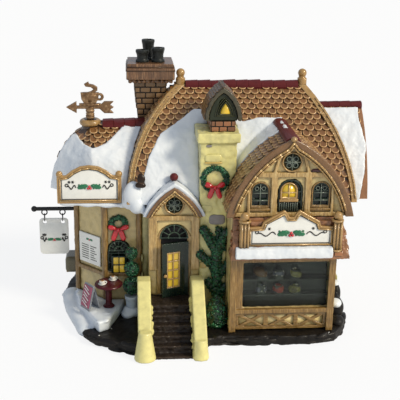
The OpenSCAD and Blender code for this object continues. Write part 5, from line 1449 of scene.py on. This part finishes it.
class VILLAGE_OT_trim(bpy.types.Operator):
    """Dress the timbers, bargeboards, frames and windows"""

    bl_idname = "village.trim"
    bl_label = "Timbers and Windows"

    # Node, finish, voxel, rounds of smoothing, height and size of its lumps
    DRESSED = (
        ("bargeboards", "barge", 0.4, 3, 0.3, 3.0), ("gable_timbers", "timber pale", 0.35, 3, 0.4, 2.0),
        ("shop_window_frame", "timber upright", 0.4, 3, 0.4, 2.5),
        ("bracing_panel", "timber level", 0.3, 3, 0.3, 2.0), ("door_frame", "timber pale", 0.35, 3, 0.3, 2.0),
        ("tea_timbers", "timber upright", 0.5, 4, 0.6, 3.0), ("gable_windows", "dark green", 0.3, 2),
        ("tea_window", "dark green", 0.3, 2), ("front_door", "dark green", 0.3, 3),
        ("door_panes", "lit pane", 0.25, 2), ("door_trim", "gold", 0.18, 2),
        ("cake_display", "shelf", 0.6, 2),
    )
    # Roof, bulge, inset, front and radius of the gold lines inside the bargeboards, in millimetres
    GOLD_LINES = (("bakery_roof", 7, 3.0, -57.5, 0.7), ("bakery_roof", 7, 4.5, -56.9, 0.6),
                  ("porch_roof", 2.5, 4.4, -39.0, 0.55), ("porch_roof", 2.5, 5.7, -38.3, 0.5))
    # Front of the bakery's gable wall, and of the leading and the lit window's bars on it, in millimetres
    WALL, LEADING, BARS = -53.6, -54.1, -54.4
    # Middle, foot, width and height of the lit window, and the number of slats below it
    LIT, SLATS = (47.4, 90.2, 9.0, 9.6), 9
    # Middles, foot, width and height of the casements
    CASEMENTS, CASEMENT = (30.5, 66.5), (84.6, 11.6, 16.6)
    DARK_PATCH = ((63.4, -54, 107.2), (3.4, 0.7, 1.6))
    # Middle, foot, radius and front of the fanlights of the porch and the tea room
    FANLIGHTS = ((-18.5, 59.6, 8.3, -34.2), (-52.5, 46.6, 6, -20.9))
    # Lowest and highest corner of the dark plate that paints the shade behind the door, and of the tea room's
    # small lit window
    DOOR_SHADE = ((-27.6, -33.3, 22.3), (-10, -32.9, 59.6))
    SMALL_WINDOW = ((-57.2, -21.6, 31.2), (-47.6, -20.2, 42.8))
    SMALL_PANES = [(x, z) for x in (-54.3, -50.5) for z in (34.3, 39.7)]
    # Foot of the lantern's pane, its width and height, and those of the rims round it before they are sized
    LANTERN_FOOT, LANTERN_PANE, LANTERN_ARCH = (11.6, 135.6), (5.6, 6.6), (5.4, 6.2)
    # Size, front and back of each rim
    LANTERN_RIMS = ((2.35, -30.0, -28.8), (1.85, -30.4, -29.0), (1.4, -30.8, -29.2))
    # Height of each shelf with its cakes, where the cakes stand, their half size and their lumps of icing
    CAKES = ((38.1, ("cake brown", "cake blue", "cake yellow")),
             (28.2, ("cake blue", "cake red", "cake yellow")))
    CAKE_PLACES, CAKE_SIZE, ICING = (34.7, 45, 55.3), (3.5, 3.5, 2.9), 7

    def execute(self, context):
        for row in self.DRESSED:
            dress(*row)
        hone("shop_window_glass", "shop glass", 0.1)
        self.gold_lines()
        self.round_windows()
        self.gable()
        self.porch_and_tea()
        self.lantern()
        self.cakes()
        return {"FINISHED"}

    def gold_lines(self):
        bm = bmesh.new()
        for node, bulge, shrink, front, radius in self.GOLD_LINES:
            cord(bm, gable_line(node, bulge * MM, shrink * MM, front * MM), radius * MM)
        finish_piece("gold_lines", bm, ["gold"])

    def round_windows(self):
        """Both round windows: a gold ring, a dark pane and curled leading."""
        bm = bmesh.new()
        for low, high in islands("round_windows"):
            place, radius = ((low.x + high.x) / 2, (low.z + high.z) / 2), (high.x - low.x) / 2
            middle = Vector((place[0], low.y + 0.9 * MM, place[1]))
            rim(bm, round_outline(radius), 0.2 * radius, place, low.y, high.y, 0)
            plate(bm, round_outline(0.86 * radius), place, low.y + 1.1 * MM, high.y, 1)
            for turn in (0, 90):
                reach = in_wall(turn) @ Vector((0, 0, 0.82 * radius))
                bar(bm, middle - reach, middle + reach, 0.33 * MM, 8, 2)
            for turn in (45, 135, 225, 315):
                spot = middle + in_wall(turn) @ Vector((0, 0, 0.42 * radius))
                torus(bm, spot, FRONT, 0.22 * radius, 0.25 * MM, 16, 6, 2)
        finishes = ["gold", "dark green", "lead"]
        finish_piece("leaded_rounds", bm, finishes, replaces=("round_windows",))

    def gable(self):
        """The lit window, its slats and the leading and sills of the bakery's gable."""
        bm = bmesh.new()
        wall = self.WALL * MM
        x, foot, wide, tall = self.LIT
        spot = (x * MM, foot * MM)
        plate(bm, arch_outline(wide * MM, tall * MM), spot, -54.2 * MM, wall, 3)
        rim(bm, arch_outline((wide + 1.4) * MM, (tall + 0.9) * MM), 1.1 * MM, spot, -55 * MM, wall, 0)
        cord(bm, [at(x, self.BARS, foot), at(x, self.BARS, foot + 9.4)], 0.4 * MM, 0)
        cord(bm, [at(x + side * 4.4, self.BARS, foot + 4.4) for side in (-1, 1)], 0.4 * MM, 0)
        block(bm, at(x - 5.6, -55.4, foot - 1.2), at(x + 5.6, self.WALL, foot + 0.4), 0.3 * MM, 0)
        for step in range(self.SLATS):
            slat = x - 5.2 + 1.3 * step
            cord(bm, [at(slat, -54.3, foot - 7.2), at(slat, -54.3, foot - 1.2)], 0.28 * MM, 2)
        foot, wide, tall = self.CASEMENT
        outline = arch_outline(wide * MM, tall * MM)
        for x in self.CASEMENTS:
            rim(bm, outline, 1.0 * MM, (x * MM, foot * MM), -54.7 * MM, wall, 4)
            block(bm, at(x - 6.4, -55.2, foot - 1.2), at(x + 6.4, self.WALL, foot + 0.4), 0.3 * MM, 4)
            cord(bm, [at(x, self.LEADING, foot + 0.9), at(x, self.LEADING, foot + 15)], 0.32 * MM, 2)
            for rise in (5, 9.6):
                cord(bm, [at(x + side * 4.4, self.LEADING, foot + rise) for side in (-1, 1)], 0.3 * MM, 2)
            for side in (-1, 1):
                curl = at(x + side * 2, self.LEADING, foot + 12.4)
                torus(bm, curl, FRONT, 1.1 * MM, 0.24 * MM, 14, 6, 2)
        centre, size = self.DARK_PATCH
        blob(bm, at(*centre), at(*size), detail=3, index=5, pinch=boxy)
        finishes = ["gold", "dark green", "lead", "lit pane", "timber upright", "dark patch"]
        finish_piece("gable_glazing", bm, finishes)

    def porch_and_tea(self):
        """The fanlight over the door and the tea room's fanlight and small lit window, and dark plates that
        paint the shade behind the porch's fanlight and the door.
        """
        bm = bmesh.new()
        for centre, foot, radius, front in self.FANLIGHTS:
            middle = at(centre, front, foot)
            turns = [math.pi * step / 12 for step in range(13)]
            arc = [middle + radius * MM * Vector((math.cos(turn), 0, math.sin(turn))) for turn in turns]
            inner = [middle + (point - middle) * 0.42 for point in arc]
            cord(bm, arc, 0.45 * MM, 0)
            cord(bm, inner, 0.4 * MM, 0)
            for start, end in list(zip(inner, arc))[2:-1:2]:
                cord(bm, [start, end], 0.4 * MM, 0)
            low, high = middle - at(radius + 0.4, 0.5, 0.7), middle + at(radius + 0.4, 0.5, 0.4)
            block(bm, low, high, 0.25 * MM, 0)
        # Dark plates paint the shade inside the house behind the porch's fanlight and behind the door
        plate(bm, arch_outline(17.2 * MM, 8.8 * MM), (-18.5 * MM, 59.4 * MM), -34.1 * MM, -33 * MM, 3)
        for (low, high), edge, index in ((self.DOOR_SHADE, 0.1, 3), (self.SMALL_WINDOW, 0.4, 0)):
            block(bm, at(*low), at(*high), edge * MM, index)
        for x, z in self.SMALL_PANES:
            block(bm, at(x - 1.6, -21.9, z - 2.3), at(x + 1.6, -21.4, z + 2.3), 0.4 * MM, 2)
        finish_piece("small_glazing", bm, ["dark green", "gold", "lit pane", "ink_and_shade"])
        plaster = bmesh.new()
        low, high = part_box("bracing_panel")
        block(plaster, Vector((low.x + MM, high.y - 0.4 * MM, low.z + MM)),
              Vector((high.x - MM, high.y + 0.2 * MM, high.z - MM)))
        finish_piece("bracing_plaster", plaster, ["gable plaster"])

    def lantern(self):
        """The pointed lit window of the lantern inside its ridges."""
        bm = bmesh.new()
        x, foot = self.LANTERN_FOOT
        wide, tall = self.LANTERN_ARCH
        for share, front, back in self.LANTERN_RIMS:
            outline = pointed_outline(wide * share * MM, tall * share ** 0.8 * MM)
            rim(bm, outline, 0.8 * MM, (x * MM, (foot - 1.1 * (share - 1)) * MM), front * MM, back * MM, 0)
        pane = pointed_outline(self.LANTERN_PANE[0] * MM, self.LANTERN_PANE[1] * MM)
        plate(bm, pane, (x * MM, foot * MM), -30.3 * MM, -29 * MM, 1)
        finish_piece("lantern_window", bm, ["olive", "lit pane"])

    def cakes(self):
        """The six cakes behind the shop window, on the shelves that the display holds."""
        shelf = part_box("cake_display")[0].y + 3.5 * MM
        finishes = ["cake brown", "cake blue", "cake yellow", "cake red", "icing"]
        rng = random.Random(17)
        bm = bmesh.new()
        for height, row in self.CAKES:
            for x, finish in zip(self.CAKE_PLACES, row):
                middle = Vector((x * MM, shelf, (height + 2.4) * MM))
                kind, dents = finishes.index(finish), rough(rng, 0.12)
                blob(bm, middle, at(*self.CAKE_SIZE), pinch=dents, detail=3, index=kind)
                for _ in range(self.ICING):
                    way = any_way(rng).normalized()
                    spot = middle + 3 * MM * Vector((way.x, -abs(way.y), way.z))
                    blob(bm, spot, at(0.6, 0.6, 0.5), detail=1, index=4)
        finish_piece("cakes", bm, finishes)


class VILLAGE_OT_signs(bpy.types.Operator):
    """Dress the sign boards and their frames, and make the weathervane's post"""

    bl_idname = "village.signs"
    bl_label = "Signs"

    # Board, and how wide and tall its inked line runs against the board's outline
    BORDERS = (("bakery_sign_board", 0.95, 0.9), ("tea_sign_board", 0.94, 0.92))
    # Name, middle, size, reach of the curls, slot and body of each sprig
    MOTIFS = (("bakery_sign_motif", (48.5, -61.8, 71.4), 1.7, 20, "sign_white", HOUSE),
              ("tea_sign_motif", (-69.7, -25.4, 89.6), 1.5, 13.4, "sign_white", HOUSE),
              ("hanging_motif", (-94.3, 2.4, 45.4), 0.9, 7.6, "board_white", "hanging_sign"))
    FINISHES = ["ink_and_shade", "holly", "bow red"]
    # Foot of the menu board, and the number of its rows
    MENU_FOOT, MENU_ROWS = (-70, -11, 34), 7
    # Depth in millimetres of the rings and balls on the sign's posts, and the heights of the rings
    POST_DEPTH, POST_RINGS, POST_BALL = -61, (61, 79.4), 82.2
    VANE_RINGS = (124.6, 126.9, 129.2)

    def execute(self, context):
        dress("bakery_sign_frame", "gold", 0.3, 4)
        dress("tea_sign_frame", "gold", 0.3, 4)
        hone("sign_bracket", "black metal", 0.1)
        hone("hanger_links", "dark wire", 0.02)
        dress("weathervane", "bronze", 0.22, 3)
        for node in ("bakery_sign_board", "tea_sign_board", "swinging_sign"):
            hone(node, "white", 0.15)
        for row in self.BORDERS:
            self.border(*row)
        for row in self.MOTIFS:
            self.motif(*row)
        self.menu()
        self.posts()
        self.vane()
        return {"FINISHED"}

    def border(self, node, wide, tall):
        """An inked line on the front of a board and a gold bead round it, both after its own outline."""
        points = flat_outline(node, FRONT)
        centre = middle_of(node)
        bm = bmesh.new()
        # Width and height against the outline, radius, place before the front, and finish of both lines
        for across, up, radius, lift, index in ((wide, tall, 0.2, 0.0, 0), (1.0, 1.0, 0.5, -0.4, 1)):
            line = [Vector((centre.x + (point.x - centre.x) * across, points[0].y + lift * MM,
                            centre.z + (point.z - centre.z) * up)) for point in points]
            pairs = zip(line, line[1:] + line[:1])
            line = [point for point, after in pairs if (point - after).length > 0.02 * MM]
            cord(bm, line + line[:1], radius * MM, index)
        finish_piece(f"{node}_border", bm, ["ink_and_shade", "gold"])

    def motif(self, name, middle, size, reach, slot, body):
        """A sprig of holly with a curl at each side and small stars over them."""
        bm = bmesh.new()
        centre = at(*middle)
        holly(bm, centre, size)
        start = 5.4 * size
        run, steps = reach - start, 16
        for side in (-1, 1):
            curl = []
            for step in range(steps + 1):
                rise = 1.5 * math.sin(step * 0.55) * (1 - 0.5 * step / steps)
                curl.append(centre + at(side * (start + run * step / steps), 0, rise))
            cord(bm, curl, 0.3 * MM, 0, 6)
            torus(bm, curl[-1] + at(side * 0.2, 0, 0.9), FRONT, 0.9 * MM, 0.26 * MM, 14, 6, 0)
            for share in (0.35, 0.75):
                spot = centre + at(side * (start + run * share), 0, 3.4)
                for turn in (0, 60, 120):
                    ray = in_wall(turn) @ at(0.9, 0, 0)
                    bar(bm, spot - ray, spot + ray, 0.18 * MM, 6, 0)
        finish_piece(name, bm, self.FINISHES, body)

    def menu(self):
        """Thin rules and a sprig on the board of the cut corner."""
        dress("menu_board", "white", 0.3, 2)
        bm = bmesh.new()
        for row in range(self.MENU_ROWS):
            foot = 3 + 1.5 * row
            for left, right in ((-7, -0.8), (0.8, 6.4 - 1.2 * (row % 3))):
                block(bm, at(left, -0.14, foot), at(right, 0.1, foot + 0.4), 0.05 * MM, 0)
        holly(bm, at(0, 0, 16.2), 0.62)
        turn = Matrix.Translation(at(*self.MENU_FOOT)) @ Matrix.Rotation(math.radians(-45), 4, "Z")
        bmesh.ops.transform(bm, matrix=turn @ Matrix.Translation(at(-0.6, -1, 0)), verts=bm.verts[:])
        finish_piece("menu_lines", bm, self.FINISHES)

    def posts(self):
        """Fluted fronts, rings and balls on the two posts of the bakery's sign."""
        low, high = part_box("bakery_sign_frame")
        bm = bmesh.new()
        for x in (low.x + 3.2 * MM, high.x - 3.2 * MM):
            for step in (-1.9, 0, 1.9):
                foot = Vector((x + step * MM, low.y + 0.2 * MM, low.z + 1.4 * MM))
                bar(bm, foot, foot + at(0, 0, 17), 0.75 * MM, 12)
            for height in self.POST_RINGS:
                torus(bm, Vector((x, self.POST_DEPTH * MM, height * MM)), UP, 2.9 * MM, 0.8 * MM)
            ball = Vector((x, self.POST_DEPTH * MM, self.POST_BALL * MM))
            blob(bm, ball, at(2.6, 2.4, 2.6), detail=3)
        finish_piece("sign_posts", bm, ["rib gold"])

    def vane(self):
        """The ringed barrel of the weathervane's post, and its cup and saucer in rounded relief."""
        bm = bmesh.new()

        def upright(low, high, radius, end_radius):
            start, end = VANE_AXIS + at(0, 0, low), VANE_AXIS + at(0, 0, high)
            return bar(bm, start, end, radius * MM, 24, end_radius=end_radius * MM)

        upright(123.8, 130, 2.4, 2.4)
        for height in self.VANE_RINGS:
            torus(bm, VANE_AXIS + at(0, 0, height), UP, 2.3 * MM, 0.5 * MM)
        relief = upright(133.4, 140.4, 3.5, 5.8) + upright(132, 133.2, 6.2, 6.9)
        bmesh.ops.scale(bm, vec=(1, 0.32, 1), space=Matrix.Translation(-VANE_AXIS), verts=relief)
        torus(bm, VANE_AXIS + at(6.3, 0, 137.6), FRONT, 1.9 * MM, 0.6 * MM)
        finish_piece("vane_barrel", bm, ["bronze"], "vane")


class VILLAGE_OT_greenery(bpy.types.Operator):
    """Make the wreaths, bows, ivy, bush and topiary"""

    bl_idname = "village.greenery"
    bl_label = "Greenery and Bows"

    # Start, end and thickness in millimetres of the ivy's extra shoots
    SHOOTS = (((8.8, -35, 20), (7.7, -35, 37), 3.0), ((7.7, -35, 37), (8.1, -35, 51), 3.0),
              ((8.1, -35, 50), (12.9, -35, 63), 2.5), ((8, -35, 50), (-0.1, -35, 64.6), 2.8),
              ((7.5, -35, 39.5), (-2.2, -35, 48.6), 2.8), ((11.4, -34.8, 36.4), (15.6, -34.8, 43.6), 2.2),
              ((8.1, -35.4, 22.6), (3.7, -35.4, 30), 2.8), ((10, -35.4, 22.6), (13.4, -35.4, 27), 2.6))
    # Node, number of leaves and their length against a full leaf
    LEAVES = (("wreaths", 560, 0.8), ("ivy_and_bush", 620, 1.0), ("topiary_tree", 620, 0.62))
    SHOOT_LEAVES = 900
    # Middle and half size against the bow's width of a loop and of a tail
    LOOP, TAIL = ((0.29, 0, 0.16), (0.29, 0.15, 0.22)), ((0.2, 0.02, -0.26), (0.14, 0.09, 0.34))
    # Middle and half size of the knot, and the lean of loops and tails in degrees
    KNOT, BOW_LEAN = ((0, -0.06, 0.06), (0.1, 0.12, 0.12)), 20

    def execute(self, context):
        length = context.scene.village_sizes.leaf_length
        rng = random.Random(13)
        dress("wreaths", "leaf", 0.35, 2, 1.0, 1.4)
        dress("ivy_and_bush", "leaf", 0.4, 3, 1.2, 1.8)
        dress("topiary_tree", "leaf", 0.4, 2, 1.0, 1.4)
        dress("topiary_pot", "pot grey", 0.35, 3)
        for node, count, share in self.LEAVES:
            places = leaf_places(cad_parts[node].data, count, rng, length * share)
            leaves = scatter(leaf_shape(length * share), places, rng)
            finish_piece(f"{node}_leaves", leaves, ["leaf"])
        self.shoots(rng, length)
        self.bows()
        return {"FINISHED"}

    def shoots(self, rng, length):
        """Thick shoots of ivy on the tower with leaves all over them."""
        bm = bmesh.new()
        for start, end, thick in self.SHOOTS:
            blob_run(bm, at(*start), at(*end), thick * MM)
        shoots = finish_piece("ivy_shoots", bm, ["leaf"])
        places = leaf_places(shoots.data, self.SHOOT_LEAVES, rng, length, lambda n, c: n.y < 0.4, 0.2)
        finish_piece("ivy_leaves", scatter(leaf_shape(length), places, rng), ["leaf"])

    def bows(self):
        """Puffed bows in place of the flat ones, each with two loops, two tails and a knot."""
        bm = bmesh.new()
        for low, high in islands("bows"):
            width = high.x - low.x
            centre = (low + high) / 2
            middle = Vector((centre.x, centre.y - 0.3 * MM, high.z - 0.4 * width))
            for side in (-1, 1):
                lean = in_wall(-side * self.BOW_LEAN)
                for ((x, y, z), size), pinch in ((self.LOOP, loop_of(side)), (self.TAIL, boxy)):
                    place = middle + width * Vector((side * x, y, z))
                    blob(bm, place, width * Vector(size), lean, 3, pinch=pinch)
            blob(bm, middle + width * Vector(self.KNOT[0]), width * Vector(self.KNOT[1]), detail=3)
        finish_piece("ribbon_bows", bm, ["bow red"], replaces=("bows",))


class VILLAGE_OT_cafe(bpy.types.Operator):
    """Dress the cafe table, the cups and the sandwich board"""

    bl_idname = "village.cafe"
    bl_label = "Cafe Corner"

    # Lowest and highest corner of the sandwich board's panel, its foot, and its turn, lean and height
    PANEL, FOOT = ((-4.3, -1.1, 1.6), (4.3, -0.5, 15)), (-70.5, -32, 13)
    TURN, LEAN, HEIGHT = math.radians(-55), math.radians(14), 16
    # Number of the panel's strokes, and their slant in degrees
    STROKES, SLANT = 6, 22
    # Radius and thickness of a cup's handle, lower and upper radius of a saucer, and radius of the coffee
    HANDLE, SAUCER, COFFEE = (0.75, 0.25), (2.1, 2.6), 1.3

    def execute(self, context):
        dress("cafe_table", "table maroon", 0.35, 3, 0.2, 2.0)
        dress("cups", "white", 0.2, 2)
        dress("sandwich_board", "easel grey", 0.3, 2)
        bm = bmesh.new()
        ring, tube = at(*self.HANDLE)
        lower, upper = at(*self.SAUCER)
        for low, high in islands("cups"):
            middle = (low + high) / 2
            torus(bm, Vector((high.x + 0.4 * MM, middle.y, middle.z)), FRONT, ring, tube, 16, 8)
            foot, brim = Vector((middle.x, middle.y, low.z)), Vector((middle.x, middle.y, high.z))
            bar(bm, foot, foot + at(0, 0, 0.4), lower, 24, end_radius=upper)
            bar(bm, brim, brim + at(0, 0, 0.12), self.COFFEE * MM, 20, 1)
        finish_piece("saucers", bm, ["white", "cake brown"])
        panel = bmesh.new()
        block(panel, at(*self.PANEL[0]), at(*self.PANEL[1]), 0.15 * MM)
        slant = in_wall(self.SLANT)
        for row in range(self.STROKES):
            foot = 3.2 + 2 * row
            block(panel, at(-3.2, -1.3, foot), at(3.2 - 1.6 * (row % 2), -1.0, foot + 0.5), 0, 1, slant)
        stand = (Matrix.Translation(at(*self.FOOT)) @ Matrix.Rotation(self.TURN, 4, "Z")
                 @ Matrix.Translation(at(0, -self.HEIGHT * math.sin(self.LEAN), 0))
                 @ Matrix.Rotation(-self.LEAN, 4, "X"))
        bmesh.ops.transform(panel, matrix=stand, verts=panel.verts[:])
        finish_piece("easel_panel", panel, ["easel pink", "white"], smooth=False)
        return {"FINISHED"}


class VILLAGE_OT_lamp(bpy.types.Operator):
    """Dress the clip-in lamp at the back"""

    bl_idname = "village.lamp"
    bl_label = "Lamp"

    THREADS = 4

    def execute(self, context):
        hone("lamp_holder", "lamp plastic", 0.3)
        hone("bulb_base", "brass", 0.2)
        hone("bulb_glass", "bulb glass", 0.1)
        low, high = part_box("bulb_base")
        middle, radius = (low + high) / 2, (high.x - low.x) / 2
        bm = bmesh.new()
        for step in range(self.THREADS):
            share = (step + 1) / (self.THREADS + 1)
            spot = Vector((middle.x, low.y + (high.y - low.y) * share, middle.z))
            torus(bm, spot, FRONT, radius - 0.1 * MM, 0.4 * MM)
        finish_piece("bulb_thread", bm, ["brass"], "bulb")
        return {"FINISHED"}


STEPS = (VILLAGE_OT_stage, VILLAGE_OT_glazes, VILLAGE_OT_base, VILLAGE_OT_walls, VILLAGE_OT_shingles,
         VILLAGE_OT_snow, VILLAGE_OT_bricks, VILLAGE_OT_trim, VILLAGE_OT_signs, VILLAGE_OT_greenery,
         VILLAGE_OT_cafe, VILLAGE_OT_lamp)
GROUPS = {"village_colours": VillageColours, "village_sizes": VillageSizes, "village_stage": VillageStage}


class VILLAGE_PT_panel(bpy.types.Panel):
    """Sizes, colours and steps of the village house"""

    bl_label = "Porcelain Village House"
    bl_idname = "VILLAGE_PT_panel"
    bl_space_type = "VIEW_3D"
    bl_region_type = "UI"
    bl_category = "Village"

    def draw(self, context):
        for group in GROUPS:
            settings = getattr(context.scene, group)
            for key in settings.bl_rna.properties.keys():
                if key not in ("rna_type", "name"):
                    self.layout.prop(settings, key)
        for step in STEPS:
            self.layout.operator(step.bl_idname)


def register():
    for group, kind in GROUPS.items():
        bpy.utils.register_class(kind)
        setattr(bpy.types.Scene, group, PointerProperty(type=kind))
    for kind in (*STEPS, VILLAGE_PT_panel):
        bpy.utils.register_class(kind)


def unregister():
    for kind in (VILLAGE_PT_panel, *reversed(STEPS)):
        bpy.utils.unregister_class(kind)
    for group, kind in GROUPS.items():
        delattr(bpy.types.Scene, group)
        bpy.utils.unregister_class(kind)


def main():
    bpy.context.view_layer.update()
    register()
    for step in STEPS:
        area, name = step.bl_idname.split(".")
        getattr(getattr(bpy.ops, area), name)()


if __name__ == "__main__":
    main()
